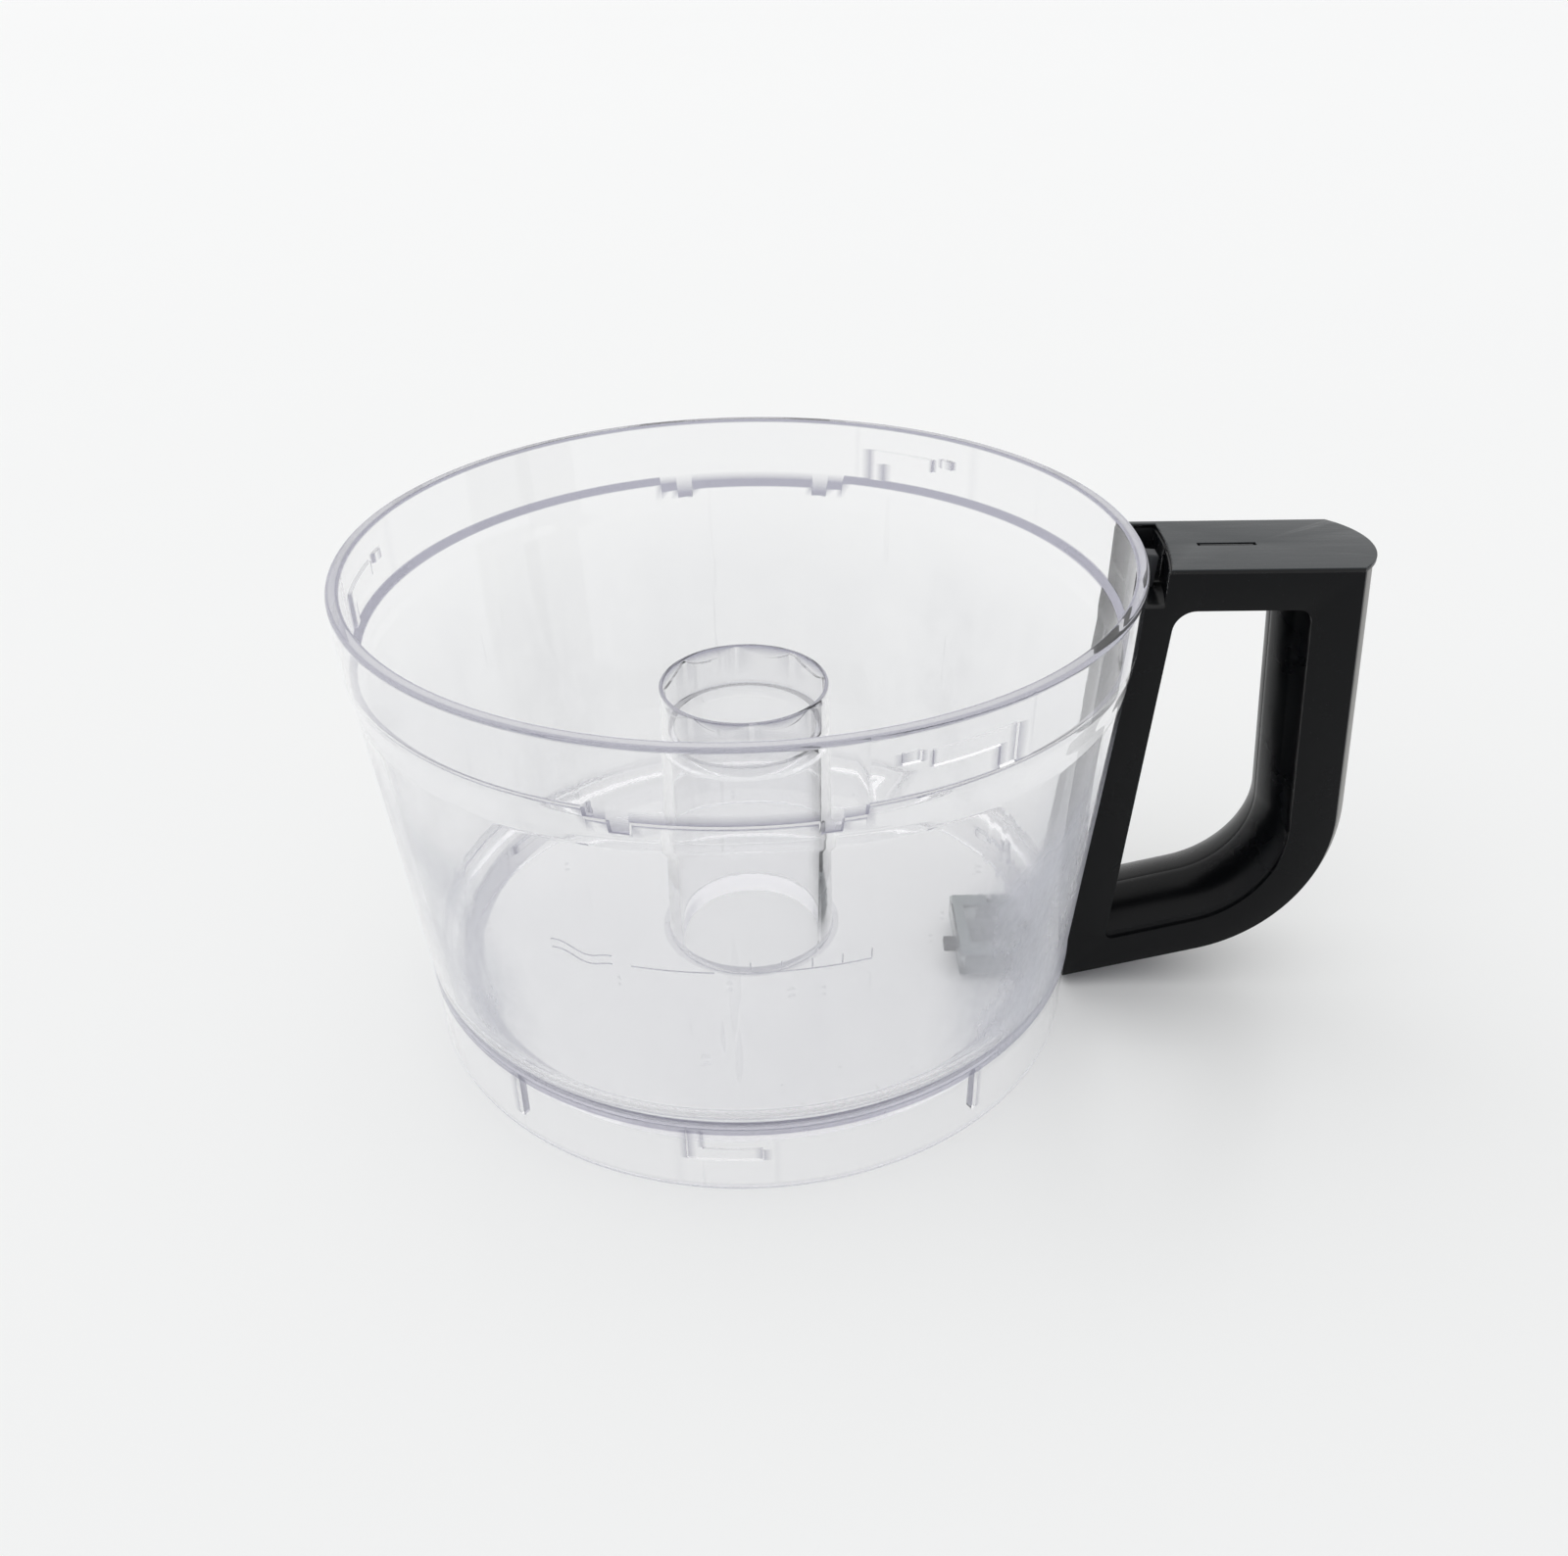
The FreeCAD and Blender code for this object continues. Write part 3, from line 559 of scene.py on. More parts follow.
def refined(node: str, bevel: float, look: Look, slot: str, body: str) -> bpy.types.Object:
    """Stand-in for a CAD node with smooth faces and softened edges.

    Args:
        node: the CAD node that it replaces.
        bevel: width of the softened edges in metres, or 0 for none.
        look: its finish.
        slot: name of its material slot, passed on to dress.
        body: the body that it rides on.

    Returns:
        The new piece.
    """
    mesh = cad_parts[node].data.copy()
    work = bmesh.new()
    work.from_mesh(mesh)
    bmesh.ops.remove_doubles(work, verts=work.verts, dist=WELD)
    bmesh.ops.dissolve_degenerate(work, dist=WELD / 2, edges=work.edges)
    work.to_mesh(mesh)
    work.free()
    piece = add_object(node + "_piece", mesh)
    if bevel:
        cut = piece.modifiers.new("soften", "BEVEL")
        cut.width = bevel
        cut.segments = 2
        cut.limit_method = "ANGLE"
        cut.angle_limit = BEVEL_FROM
        mesh = evaluated(piece)
        piece.modifiers.clear()
        piece.data = mesh
    piece.data.shade_smooth()
    piece.data.set_sharp_from_angle(angle=SMOOTH_TO)
    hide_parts(node)
    return dress(piece, look, slot, body)


# ---------------------------------------------------------------- clear bowl
# How much painted violet grey shade the rounded corner that starts a zone, and the run after it,
# carry.
CORNER_PAINTED_SHADE = {"rim": 0.9, "collar_in": 1.0, "shelf": 1.0, "lip": 1.0, "edge": 0.9, "band": 1.0,
                "wall_out": 0.9, "floor": 0.7, "tube_out": 0.35, "tube_lip": 0.8, "mouth": 1.0,
                "ring_top": 0.4, "ring": 0.2, "under": 0.75, "skirt_out": 0.4, "foot": 0.25}
RUN_PAINTED_SHADE = {"rim": 0.55, "shelf": 0.6, "edge": 1.0, "band": 0.85, "mouth": 0.15}


@dataclass
class Station:
    """One point of the bowl's section: radius, height and the zone it belongs to."""

    r: float
    z: float
    zone: str
    # share of painted violet grey shade at this point, 0 to 1
    edge: float = 0.0


@dataclass(frozen=True)
class Rib:
    """Bar on the bowl: its azimuths from a centre, its heights in mm and how far it stands out."""

    left: float
    right: float
    depth: float
    low: float = -math.inf
    high: float = math.inf


@dataclass(frozen=True)
class RibGroup:
    """Ribs that repeat round the bowl at these azimuths."""

    centres: tuple[float, ...]
    ribs: tuple[Rib, ...]


LID_RIBS = (
    RibGroup((-59.0, 61.0, 181.0), (
        Rib(-6.2, 6.2, 1.1, 129.5, 133.6), Rib(3.6, 6.2, 1.1, 100.0, 133.6),
        Rib(-10.3, -7.9, 1.1, 131.6, 134.4), Rib(-14.4, 8.7, 0.10))),
)
FOOT_RIBS = (
    RibGroup((-93.0, 27.0, 147.0), (
        Rib(-6.0, 6.0, 1.1, 9.4, 13.2), Rib(-6.0, -3.6, 1.1, 9.4, 30.0), Rib(-7.3, 8.1, 0.10))),
    RibGroup((-130.0, -49.5, 49.5, 130.0), (Rib(-0.4, 0.4, 2.1, 5.0, 30.0),)),
)
SHELF_DIPS = (
    RibGroup((-90.5, 89.5), (
        Rib(-17.2, 17.2, 2.4), Rib(-14.1, -11.3, 5.9), Rib(11.3, 14.1, 5.9))),
)


def wall_radius(z: float) -> float:
    """Outer radius of the bowl's wall at a height, both in millimetres."""
    return WALL_AT_ZERO + TAPER * z


def band(value: float, low: float, high: float, ramp: float) -> float:
    """Mask of a range, with straight ramps across both its edges.

    Args:
        value: where to look.
        low: lower edge.
        high: upper edge.
        ramp: width of the ramps.

    Returns:
        1 between low and high, 0 outside.
    """
    rise = (value - low) / ramp + 0.5
    fall = (high - value) / ramp + 0.5
    return max(0.0, min(1.0, rise, fall))


def turn_from(azimuth: float, centre: float) -> float:
    """Signed difference of two azimuths in degrees, -180 to 180."""
    return (azimuth - centre + 180.0) % 360.0 - 180.0


@dataclass
class ClearBowl:
    """The clear moulding, made as one closed ring-shaped grid. Sizes in millimetres."""

    rim_z: float = 141.4
    floor_z: float = 15.3
    shelf_z: float = 122.0
    lip_low: float = 116.6
    wall: float = 2.9
    arc_steps: int = 6
    column_step: float = 1.5
    ramp_degrees: float = 0.14
    ramp_mm: float = 0.3
    tube_top: float = 99.2
    mouth_r: float = 23.0
    step_r: float = 22.4
    scallops: int = 8
    scallop_low: float = 95.7
    scallop_top: float = 98.5
    scallop_bevel: float = 0.14
    guard: float = 0.5
    long_run: float = 3.0
    collar_guard: float = 137.0
    # painted violet grey shade low in the bore and where the ribs step out
    bore_shade_to: float = 15.5
    bore_painted_shade: float = 0.6
    rib_painted_shade: float = 0.85
    full_shade_jump: float = 0.8
    # below foot_top the painted edge shade fades towards the back
    foot_top: float = 30.0
    back_loss: float = 0.85
    back_from: float = 18.0
    back_to: float = 150.0
    back_ramp: float = 24.0
    window_half: float = 3.24
    window_z: tuple[float, float] = (5.0, 19.2)

    def corners(self) -> list[tuple[float, float, float, str]]:
        """Corners of the section.

        Returns:
            Radius, height, rounding and the zone of the run that follows, for each corner.
        """
        wall = wall_radius
        return [
            (94.2, 0.0, 0.5, "foot"),
            (97.0, 0.0, 0.8, "skirt_out"),
            (97.2, 20.6, 0.0, "edge"),
            (97.73, 20.95, 0.2, "band"),
            (97.58, 25.3, 0.2, "wall_out"),
            (wall(116.5), 116.5, 9.0, "shoulder"),
            (106.7, 121.8, 6.0, "collar_out"),
            (107.5, self.rim_z, 0.8, "rim"),
            (104.1, self.rim_z, 0.6, "collar_in"),
            (103.9, 123.2, 0.25, "shelf"),
            (101.9, self.shelf_z, 0.4, "lip"),
            (101.9, 115.6, 0.9, "under_lip"),
            (wall(112.0) - self.wall, 112.0, 4.0, "wall_in"),
            (wall(27.0) - self.wall, 27.0, 3.0, "step"),
            (89.2, 23.0, 3.0, "dish_in"),
            (89.2, self.floor_z, 5.0, "floor"),
            (25.4, self.floor_z, 1.8, "tube_out"),
            (24.1, self.tube_top, 0.35, "tube_lip"),
            (self.mouth_r, self.tube_top, 0.35, "mouth"),
            (self.step_r, 87.0, 0.3, "ring_top"),
            (20.5, 87.0, 0.3, "ring"),
            (20.5, 83.6, 0.3, "ring_under"),
            (21.7, 82.8, 0.4, "bore"),
            (22.2, 10.5, 0.5, "under"),
            (92.0, 10.5, 6.0, "dish_out"),
            (92.0, 20.6, 0.6, "web"),
            (94.2, 20.6, 0.6, "skirt_in"),
        ]

    def extra_heights(self, zone: str) -> list[float]:
        """Heights that need a row of their own, for the edges of ribs.

        Args:
            zone: a zone of the section.

        Returns:
            The heights, in any order.
        """
        half = self.ramp_mm / 2
        groups = {"collar_in": LID_RIBS, "skirt_in": FOOT_RIBS}.get(zone, ())
        edges = {z for group in groups for rib in group.ribs for z in (rib.low, rib.high)}
        edges |= {"collar_in": {self.collar_guard}, "bore": {self.bore_shade_to}}.get(zone, set())
        rows = [z + side * half for z in edges for side in (-1, 1)]
        if zone in ("skirt_in", "skirt_out"):
            rows += [self.window_z[0] - 0.25, self.window_z[1]]
        return rows

    def section(self) -> list[Station]:
        """The section with rounded corners, going once round.

        Returns:
            Its stations, one for each row of the grid.
        """
        corners = self.corners()
        stations: list[Station] = []
        count = len(corners)
        spans = []
        for i, (r, z, radius, _) in enumerate(corners):
            here = Vector((r, z))
            back = (Vector(corners[i - 1][:2]) - here).normalized()
            ahead = (Vector(corners[(i + 1) % count][:2]) - here).normalized()
            half = back.angle(ahead) / 2
            if radius == 0.0:
                spans.append([here])
                continue
            reach = radius / math.tan(half)
            middle = here + (back + ahead).normalized() * (radius / math.sin(half))
            start, end = here + back * reach - middle, here + ahead * reach - middle
            sweep = start.angle_signed(end)
            steps = max(2, round(self.arc_steps * abs(sweep) / (math.pi / 2)))
            points = []
            for k in range(steps + 1):
                angle = -sweep * k / steps
                points.append(middle + Matrix.Rotation(angle, 2) @ start)
            spans.append(points)
        for i, points in enumerate(spans):
            zone = corners[i][3]
            for p in points:
                stations.append(Station(p.x, p.y, zone, CORNER_PAINTED_SHADE.get(zone, 0.0)))
            stations += self._rows_between(points[-1], spans[(i + 1) % count][0], zone)
        return stations

    def _rows_between(self, start: Vector, end: Vector, zone: str) -> list[Station]:
        """Rows inside a straight run: guards near its ends, and those its ribs need.

        Args:
            start: radius and height where the run starts.
            end: radius and height where it ends.
            zone: its zone.

        Returns:
            The stations in order.
        """
        run = end - start
        length = run.length
        shares = []
        if length > self.long_run:
            shares += [self.guard / length, 1.0 - self.guard / length]
        if abs(run.y) > self.long_run:
            shares += [(z - start.y) / run.y for z in self.extra_heights(zone)]
        if zone == "mouth":
            shares = [0.1, 0.2, 0.9]
        if zone == "floor":
            shares += [k / 6 for k in range(1, 6)]
        if zone == "rim":
            shares = [0.2, 0.5, 0.8]
        kept = sorted(s for s in shares if 0.0 < s < 1.0)
        return [Station(*(start + run * s), zone, RUN_PAINTED_SHADE.get(zone, 0.0)) for s in kept]

    def columns(self) -> list[float]:
        """Azimuths of the grid's columns.

        Returns:
            Degrees from -180 to 180, rising.
        """
        edges = {centre + edge for group in LID_RIBS + FOOT_RIBS + SHELF_DIPS
                 for centre in group.centres for rib in group.ribs
                 for edge in (rib.left, rib.right)}
        half = self.ramp_degrees / 2
        fine = [e + side * half for e in edges for side in (-1, 1)]
        fine += [-self.window_half, self.window_half]
        fine = sorted((a + 180.0) % 360.0 - 180.0 for a in fine)
        count = round(360.0 / self.column_step)
        coarse = [-180.0 + self.column_step * k for k in range(count)]
        free = [a for a in coarse if all(abs(turn_from(a, f)) > 0.35 for f in fine)]
        merged = sorted(fine + free)
        return [a for i, a in enumerate(merged) if i == 0 or a - merged[i - 1] > 0.02]

    def relief(self, groups: tuple[RibGroup, ...], azimuth: float, z: float = 0.0) -> float:
        """How far the ribs of some groups stand out at a place.

        Args:
            groups: the ribs.
            azimuth: degrees.
            z: height in millimetres.

        Returns:
            The largest of their depths there.
        """
        depth = 0.0
        for group in groups:
            for centre in group.centres:
                turn = turn_from(azimuth, centre)
                for rib in group.ribs:
                    share = band(turn, rib.left, rib.right, self.ramp_degrees)
                    depth = max(depth, rib.depth * share * band(z, rib.low, rib.high, self.ramp_mm))
        return depth

    def painted_shade_share(self, azimuth: float, z: float) -> float:
        """How much of its painted shade an edge keeps: those round the floor fade towards the back.

        Args:
            azimuth: degrees.
            z: height in millimetres.

        Returns:
            A share, 0 to 1.
        """
        if z > self.foot_top:
            return 1.0
        return 1.0 - self.back_loss * band(azimuth, self.back_from, self.back_to, self.back_ramp)

    def wave(self, azimuth: float) -> float:
        """Height of the scalloped edge inside the tube's mouth.

        Args:
            azimuth: degrees.

        Returns:
            The height in millimetres.
        """
        pitch = 2 * math.pi * self.step_r / self.scallops
        depth = self.tube_top - self.scallop_low
        radius = (pitch * pitch / 4 + depth * depth) / (2 * depth)
        share = ((azimuth - 30.0) / 360.0 * self.scallops + 0.5) % 1.0 - 0.5
        rise = radius - math.sqrt(radius * radius - (share * pitch) ** 2)
        return min(self.scallop_top, self.scallop_low + rise)

    def shaped(self, station: Station, azimuth: float, mouth_row: int) -> tuple[float, float]:
        """Place of a station at an azimuth, with its ribs, dips and scallops.

        Args:
            station: the station.
            azimuth: degrees.
            mouth_row: which of the three rows of the mouth's step it is, or -1.

        Returns:
            Radius and height in millimetres.
        """
        r, z, zone = station.r, station.z, station.zone
        above_lip = z - (self.shelf_z - 1.0)
        if zone == "collar_in" and z < self.rim_z - 0.7:
            if z > self.shelf_z + 1.6:
                r -= self.relief(LID_RIBS, azimuth, z)
            else:
                z -= self.relief(SHELF_DIPS, azimuth)
        elif zone == "shelf":
            z -= self.relief(SHELF_DIPS, azimuth)
        elif zone == "lip" and above_lip > 0.0:
            z = max(z - self.relief(SHELF_DIPS, azimuth), self.lip_low + 0.1 * above_lip)
        elif zone == "skirt_in" and z < 20.0:
            r -= self.relief(FOOT_RIBS, azimuth, z)
        elif zone == "mouth" and mouth_row in (0, 1):
            side = 1 if mouth_row == 0 else -1
            r = self.mouth_r if mouth_row == 0 else self.step_r
            z = self.wave(azimuth) + side * self.scallop_bevel
        elif zone == "mouth" and mouth_row == 2:
            r = self.step_r
        return r, z

    def mesh(self) -> bpy.types.Mesh:
        """The closed grid, with the slide's window cut through the skirt.

        Returns:
            The mesh, with its painted violet grey edge shade as a point attribute.
        """
        section = self.section()
        columns = self.columns()
        straight = [i for i, s in enumerate(section) if s.zone == "mouth"][-3:]
        rows = []
        work = bmesh.new()
        edge_shade_layer = work.verts.layers.float.new(EDGE_SHADE)
        for i, station in enumerate(section):
            mouth_row = straight.index(i) if i in straight else -1
            row = []
            shapes = [self.shaped(station, azimuth, mouth_row) for azimuth in columns]
            for k, (azimuth, (r, z)) in enumerate(zip(columns, shapes)):
                a = math.radians(azimuth)
                vertex = work.verts.new((r * math.cos(a) * MM, r * math.sin(a) * MM, z * MM))
                before, after = shapes[k - 1], shapes[(k + 1) % len(shapes)]
                jump = max(abs(side[0] - r) for side in (before, after))
                jump = max(jump, *(abs(side[1] - z) for side in (before, after)))
                # painted shade: the station's share, the low bore and a rib's step, faded towards
                # the back
                low_bore = station.zone == "bore" and z < self.bore_shade_to
                edge = max(station.edge, self.bore_painted_shade * low_bore) * self.painted_shade_share(azimuth, z)
                relief = self.rib_painted_shade * min(1.0, jump / self.full_shade_jump)
                vertex[edge_shade_layer] = max(edge, relief)
                row.append(vertex)
            rows.append(row)
        holes: dict[str, list[bmesh.types.BMFace]] = {"skirt_in": [], "skirt_out": []}
        low, high = self.window_z
        for i, row in enumerate(rows):
            following = rows[(i + 1) % len(rows)]
            zone = section[i].zone
            middle = (section[i].z + section[(i + 1) % len(rows)].z) / 2
            for k, vertex in enumerate(row):
                n = (k + 1) % len(row)
                face = work.faces.new((vertex, row[n], following[n], following[k]))
                centre = (columns[k] + columns[n]) / 2
                inside = n > k and abs(centre) < self.window_half
                if zone in holes and inside and low - 0.3 < middle < high:
                    holes[zone].append(face)
        loops = []
        for faces in holes.values():
            edges = {e for f in faces for e in f.edges}
            loops += [e for e in edges if sum(f in faces for f in e.link_faces) == 1]
        bmesh.ops.delete(work, geom=holes["skirt_in"] + holes["skirt_out"], context="FACES")
        bmesh.ops.bridge_loops(work, edges=[e for e in loops if e.is_valid])
        bmesh.ops.recalc_face_normals(work, faces=work.faces)
        mesh = meshed(work, "clear_bowl")
        mesh.shade_smooth()
        mesh.set_sharp_from_angle(angle=math.radians(24))
        return mesh

    def rails(self) -> bpy.types.Mesh:
        """The two rails that the handle hooks behind.

        Returns:
            The mesh.
        """
        hook = ((0.05, 8.4), (4.2, 8.4), (4.2, 13.0), (2.4, 13.0), (2.4, 10.4), (0.05, 10.4))
        work = bmesh.new()
        for side in (-1, 1):
            ring = []
            for z in (30.0, 112.0):
                base = wall_radius(z)
                ring.append([work.verts.new(((base + x) * MM, side * y * MM, z * MM))
                             for x, y in hook])
            bottom, top = ring
            work.faces.new(bottom)
            work.faces.new(top[::-1])
            for k in range(len(hook)):
                n = (k + 1) % len(hook)
                work.faces.new((bottom[k], top[k], top[n], bottom[n]))
        bmesh.ops.recalc_face_normals(work, faces=work.faces)
        return meshed(work, "handle_rails")

    def build(self) -> None:
        """Make the bowl and its rails and dress them."""
        bowl = add_object("clear_bowl", self.mesh())
        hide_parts("bowl")
        dress(bowl, Look.CLEAR, "clear_bowl", FIXED)
        rails = add_object("handle_rails", self.rails())
        dress(rails, Look.CLEAR, "clear_bowl", FIXED)


# ---------------------------------------------------------------- strokes and coils by nodes
class PathTree:
    """Geometry Nodes tree that turns a helix or a set of strokes into round bars."""

    def __init__(self, name: str) -> None:
        """Start an empty tree with a geometry input and output.

        Args:
            name: the tree's name.
        """
        self.tree = bpy.data.node_groups.new(name, "GeometryNodeTree")
        for side in ("INPUT", "OUTPUT"):
            self.tree.interface.new_socket("Geometry", in_out=side,
                                           socket_type="NodeSocketGeometry")
        self.entry = self.tree.nodes.new("NodeGroupInput")
        self.exit = self.tree.nodes.new("NodeGroupOutput")
        self.named: dict[str, str] = {}

    def size(self, name: str, kind: str = "NodeSocketFloat") -> bpy.types.NodeSocket:
        """Add a named input.

        Args:
            name: its name.
            kind: its socket type.

        Returns:
            The socket that it feeds the tree from.
        """
        item = self.tree.interface.new_socket(name, in_out="INPUT", socket_type=kind)
        self.named[name] = item.identifier
        return next(s for s in self.entry.outputs if s.identifier == item.identifier)

    def node(self, kind: str, inputs: dict[object, object]) -> bpy.types.NodeSocket:
        """Add a node.

        Args:
            kind: the node's type.
            inputs: values or sockets by input name or number.

        Returns:
            Its first output.
        """
        made = self.tree.nodes.new(kind)
        for name, value in inputs.items():
            if isinstance(value, bpy.types.NodeSocket):
                self.tree.links.new(value, made.inputs[name])
            else:
                made.inputs[name].default_value = value
        return made.outputs[0]

    def finish(self, geometry: bpy.types.NodeSocket) -> None:
        """Realize the bars, set their material and close the tree.

        Args:
            geometry: the bars.
        """
        real = self.node("GeometryNodeRealizeInstances", {0: geometry})
        look = self.size("Material", "NodeSocketMaterial")
        done = self.node("GeometryNodeSetMaterial", {"Geometry": real, "Material": look})
        self.tree.links.new(done, self.exit.inputs[0])

    def applied(self, piece: bpy.types.Object, values: dict[str, object]) -> bpy.types.Object:
        """Run the tree on a piece and keep the plain mesh.

        Args:
            piece: the piece, which is replaced.
            values: input values by name.

        Returns:
            The new piece.
        """
        run = piece.modifiers.new("shape", "NODES")
        run.node_group = self.tree
        for name, value in values.items():
            run[self.named[name]] = value
        mesh = evaluated(piece)
        name = piece.name
        bpy.data.objects.remove(piece)
        return add_object(name, mesh)


def coil_tree() -> PathTree:
    """Tree of a helical spring that stands on the origin along Z.

    Returns:
        The tree, with inputs Radius, Length, Turns and Wire.
    """
    made = PathTree("coil")
    radius, length, turns, wire = (made.size(n) for n in ("Radius", "Length", "Turns", "Wire"))
    spiral = made.node("GeometryNodeCurveSpiral", {
        "Resolution": 24, "Rotations": turns, "Height": length,
        "Start Radius": radius, "End Radius": radius})
    ring = made.node("GeometryNodeCurvePrimitiveCircle", {"Resolution": 10, "Radius": wire})
    made.finish(made.node("GeometryNodeCurveToMesh", {
        "Curve": spiral, "Profile Curve": ring, "Fill Caps": True}))
    return made


def stroke_tree() -> PathTree:
    """Tree that turns the edges of a mesh into round bars.

    Returns:
        The tree, with the input Width.
    """
    made = PathTree("strokes")
    wire = made.size("Width")
    line = made.node("GeometryNodeMeshToCurve", {0: made.entry.outputs[0]})
    ring = made.node("GeometryNodeCurvePrimitiveCircle", {"Resolution": 8, "Radius": wire})
    made.finish(made.node("GeometryNodeCurveToMesh", {
        "Curve": line, "Profile Curve": ring, "Fill Caps": True}))
    return made


@dataclass
class LevelMark:
    """Raised wave and line on the outside of the wall that mark the highest liquid level."""

    z: float = 78.3
    wire: float = 0.17
    lift: float = 0.2
    # painted violet grey shade on the strokes
    mark_shade: float = 0.45
    ticks: tuple[float, ...] = (-88.0, -84.0, -80.0, -76.0, -72.0)

    def strokes(self) -> list[list[tuple[float, float]]]:
        """Two waves, two lines and the ticks.

        Returns:
            Each stroke's points as azimuth in degrees and height in millimetres.
        """
        waves = []
        for drop in (0.0, 2.6):
            wave = []
            for k in range(25):
                share = k / 24
                rise = 0.9 * math.sin(2 * math.pi * share * 1.15 + 0.5) + 1.5 * (1 - share)
                wave.append((-115.0 + 8.7 * share, self.z + 1.4 - drop + rise))
            waves.append(wave)
        line = [(-103.7 + 11.0 * k / 12, self.z) for k in range(13)]
        second = [(-88.0 + 16.0 * k / 18, self.z) for k in range(19)]
        ticks = [[(a, self.z + 0.4), (a, self.z + 3.2)] for a in self.ticks]
        return waves + [line, second] + ticks

    def build(self) -> None:
        """Make the strokes on the wall and dress them."""
        mesh = bpy.data.meshes.new("level_mark_lines")
        points, edges = [], []
        for stroke in self.strokes():
            first = len(points)
            for azimuth, z in stroke:
                r = wall_radius(z) + self.lift
                a = math.radians(azimuth)
                points.append((r * math.cos(a) * MM, r * math.sin(a) * MM, z * MM))
            edges += [(first + k, first + k + 1) for k in range(len(stroke) - 1)]
        mesh.from_pydata(points, edges, [])
        values = {"Width": self.wire * MM, "Material": Look.CLEAR.material()}
        piece = stroke_tree().applied(add_object("level_mark", mesh), values)
        piece.data.shade_smooth()
        # painted shade: the strokes carry the same violet grey edge attribute as the bowl's edges
        mark_shade = piece.data.attributes.new(EDGE_SHADE, "FLOAT", "POINT")
        mark_shade.data.foreach_set("value", [self.mark_shade] * len(piece.data.vertices))
        dress(piece, Look.CLEAR, "clear_bowl", FIXED)


@dataclass
class LoopHandle:
    """The handle's two shells, cap, spine and fasteners."""

    shell_edge: float = 0.35
    cap_edge: float = 0.12
    spine_edge: float = 0.2
    screw_edge: float = 0.1
    plug_edge: float = 0.15

    def build(self) -> None:
        """Refine and dress each piece of the handle."""
        pieces = (
            ("handle_shell_near", self.shell_edge, Look.BLACK, "black_handle"),
            ("handle_shell_far", self.shell_edge, Look.BLACK, "black_handle"),
            ("handle_cap", self.cap_edge, Look.CAP, "cap_plate"),
            ("spine_trim", self.spine_edge, Look.SPINE, "spine_steel"),
            ("handle_screws", self.screw_edge, Look.STEEL, "screw_steel"),
            ("screw_plugs", self.plug_edge, Look.PLUG, "black_plug"),
        )
        for node, edge, look, slot in pieces:
            refined(node, edge * MM, look, slot, FIXED)


@dataclass
class Interlock:
    """What the lid's tab presses, down to the slide under the floor."""

    edge: float = 0.15
    fine_edge: float = 0.1
    lean: float = math.atan(TAPER)
    rod_foot_x: float = 99.4
    guide_top: float = 28.0
    shoulder: float = 56.0
    wire: float = 0.3
    slack: float = 0.06

    def build(self) -> None:
        """Refine, make and dress each piece of the interlock."""
        rod, slide = "rod_and_pusher", "slide"
        pieces = (
            ("lid_tab_pusher", self.edge, Look.GREY, "grey_acetal", rod),
            ("pushrod", self.edge, Look.DARK_GREY, "rod_acetal", rod),
            ("rod_guide", self.edge, Look.DARK_GREY, "guide_acetal", FIXED),
            ("interlock_slide", self.edge, Look.DARK_GREY, "slide_acetal", slide),
            ("interlock_box", self.edge, Look.SMOKE, "box_translucent", FIXED),
            ("interlock_box_cover", self.edge, Look.SMOKE, "cover_translucent", FIXED),
            ("box_gasket", self.fine_edge, Look.SEAL, "gasket_rubber", FIXED),
            ("box_screws", self.fine_edge, Look.STEEL, "screw_steel", FIXED),
        )
        for node, edge, look, slot, body in pieces:
            refined(node, edge * MM, look, slot, body)
        self._springs()

    def _springs(self) -> None:
        """Make both coil springs with the coil tree."""
        tree = coil_tree()
        rod_length = self.shoulder - self.guide_top
        foot = Matrix.Translation((self.rod_foot_x * MM, 0, 0))
        rise = Matrix.Translation((0, 0, (self.guide_top + self.wire) * MM))
        place = foot @ Matrix.Rotation(self.lean, 4, "Y") @ rise
        self._spring(tree, "pushrod_spring", (2.3, rod_length, 11.0), place)
        low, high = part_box("slide_spring")
        middle = (low + high) / 2
        start = Matrix.Translation((low.x + self.wire * MM, middle.y, middle.z))
        place = start @ Matrix.Rotation(math.pi / 2, 4, "Y")
        sizes = (1.15, (high.x - low.x) / MM, 8.0)
        self._spring(tree, "slide_spring", sizes, place)

    def _spring(self, tree: PathTree, node: str, sizes: tuple[float, float, float],
                place: Matrix) -> None:
        """One coil spring in place of a CAD node.

        Args:
            tree: the coil tree.
            node: the CAD node that it replaces.
            sizes: mean radius and length in millimetres, and turns.
            place: where its foot stands.
        """
        radius, length, turns = sizes
        piece = add_object(node + "_coil", bpy.data.meshes.new(node))
        values = {"Radius": radius * MM, "Length": (length - 2 * self.wire) * MM, "Turns": turns,
                  "Wire": self.wire * MM, "Material": Look.STEEL.material()}
        piece = tree.applied(piece, values)
        piece.data.transform(place)
        piece.data.shade_smooth()
        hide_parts(node)
        dress(piece, Look.STEEL, "spring_steel", FIXED)
        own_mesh(piece)


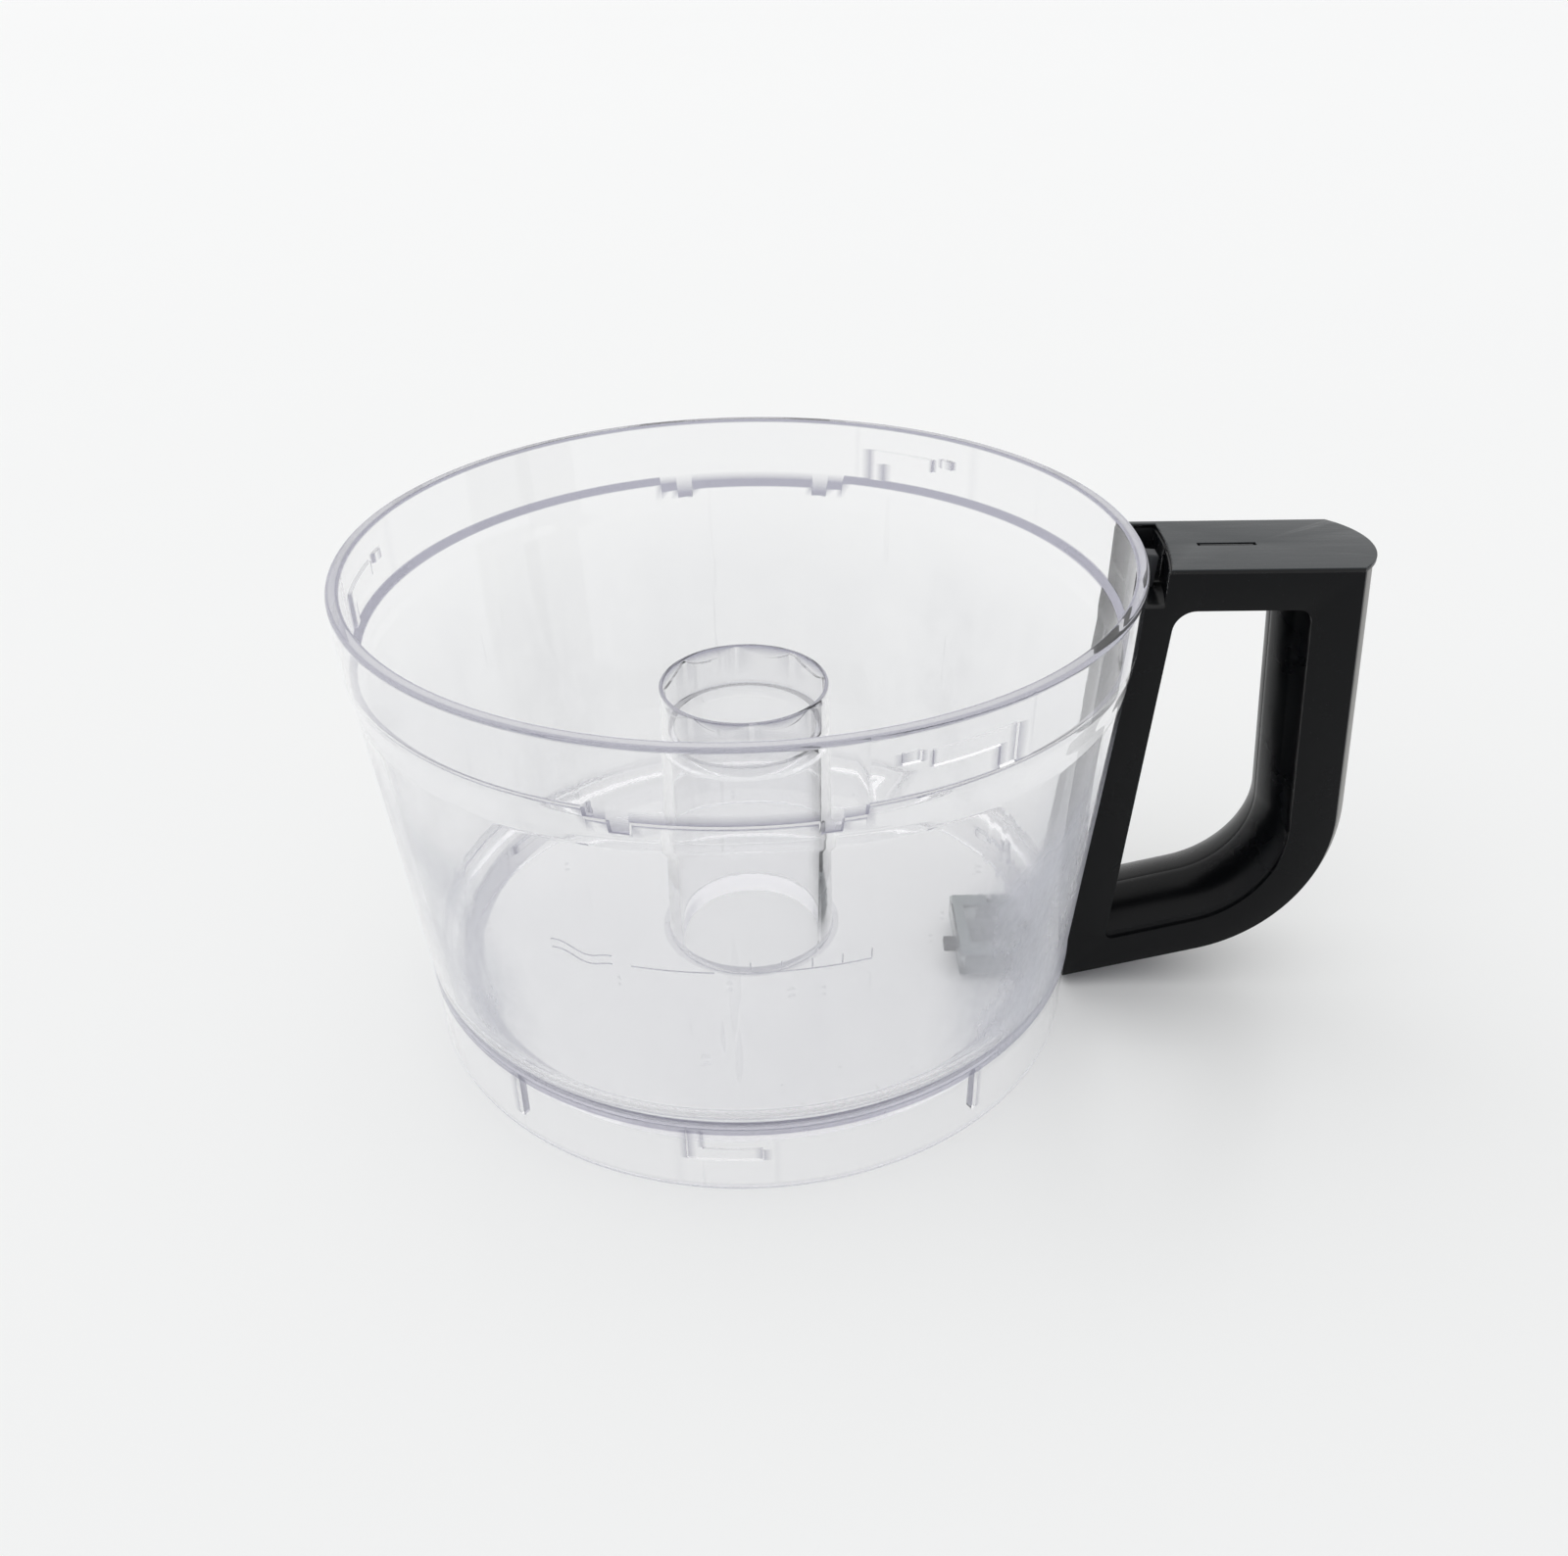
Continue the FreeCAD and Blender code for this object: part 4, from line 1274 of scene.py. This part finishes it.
# ---------------------------------------------------------------- stage
@dataclass
class Studio:
    """Floor, dome light and camera."""

    place: tuple[float, float, float] = (0.01423, -0.35439, 0.28959)
    ahead: tuple[float, float, float] = (-0.00774, 0.84667, -0.5320)
    roll: float = -0.016
    lens: float = 32.5
    dome_from: tuple[float, float, float] = (-0.15, 0.45, 0.88)
    dome_dark: float = 0.80
    dome_bright: float = 1.06
    dome_turn: tuple[float, float] = (-0.25, 0.62)
    dim_light: Colour = (0.92, 0.93, 1.0, 1.0)
    full_light: Colour = (1.0, 1.0, 1.0, 1.0)
    floor_half: float = 9.0

    def camera(self) -> None:
        """Place the camera."""
        data = bpy.data.cameras.new("view")
        data.lens = self.lens
        data.sensor_width = 36.0
        data.clip_start = 0.01
        eye = bpy.data.objects.new("view", data)
        bpy.context.scene.collection.objects.link(eye)
        ahead = Vector(self.ahead).normalized()
        level = ahead.cross(Vector((0, 0, 1))).normalized()
        upright = level.cross(ahead)
        right = level * math.cos(self.roll) + upright * math.sin(self.roll)
        up = right.cross(ahead)
        turn = Matrix((right, up, -ahead)).transposed()
        eye.matrix_world = Matrix.Translation(self.place) @ turn.to_4x4()
        bpy.context.scene.camera = eye

    def floor(self) -> None:
        """Lay the table under the skirt."""
        work = bmesh.new()
        bmesh.ops.create_grid(work, x_segments=8, y_segments=8, size=self.floor_half)
        table = add_object("table", meshed(work, "table"))
        table.data.materials.append(Look.FLOOR.material())

    def dome(self) -> None:
        """Light the scene with a soft dome that is bright above and dim at the front."""
        world = bpy.data.worlds.new("dome")
        world.use_nodes = True
        bpy.context.scene.world = world
        graph = Graph(world.node_tree)
        where = graph.node("ShaderNodeTexCoord", output="Generated")
        aim = Vector(self.dome_from).normalized()
        facing = graph.node("ShaderNodeVectorMath", {"operation": "DOT_PRODUCT"},
                            {0: where, 1: tuple(aim)}, output="Value")
        share = facing.smooth(*self.dome_turn)
        strength = share * (self.dome_bright - self.dome_dark) + self.dome_dark
        colour = graph.mix(share, self.dim_light, self.full_light)
        light = graph.node("ShaderNodeBackground", {}, {"Color": colour, "Strength": strength})
        graph.node("ShaderNodeOutputWorld", {}, {"Surface": light})

    def build(self) -> None:
        """Make the stage."""
        self.camera()
        self.floor()
        self.dome()
        bpy.context.scene.view_settings.view_transform = "Standard"


def main() -> None:
    """Build every sub-assembly in order."""
    logging.basicConfig(level=logging.INFO)
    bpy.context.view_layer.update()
    Studio().build()
    ClearBowl().build()
    LevelMark().build()
    LoopHandle().build()
    Interlock().build()


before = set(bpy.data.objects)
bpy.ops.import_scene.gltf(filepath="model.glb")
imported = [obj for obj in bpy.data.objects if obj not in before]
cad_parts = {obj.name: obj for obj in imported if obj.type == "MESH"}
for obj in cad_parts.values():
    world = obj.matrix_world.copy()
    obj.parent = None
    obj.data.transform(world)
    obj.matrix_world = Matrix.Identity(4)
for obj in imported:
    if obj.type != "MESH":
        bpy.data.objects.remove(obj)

if __name__ == "__main__":
    main()
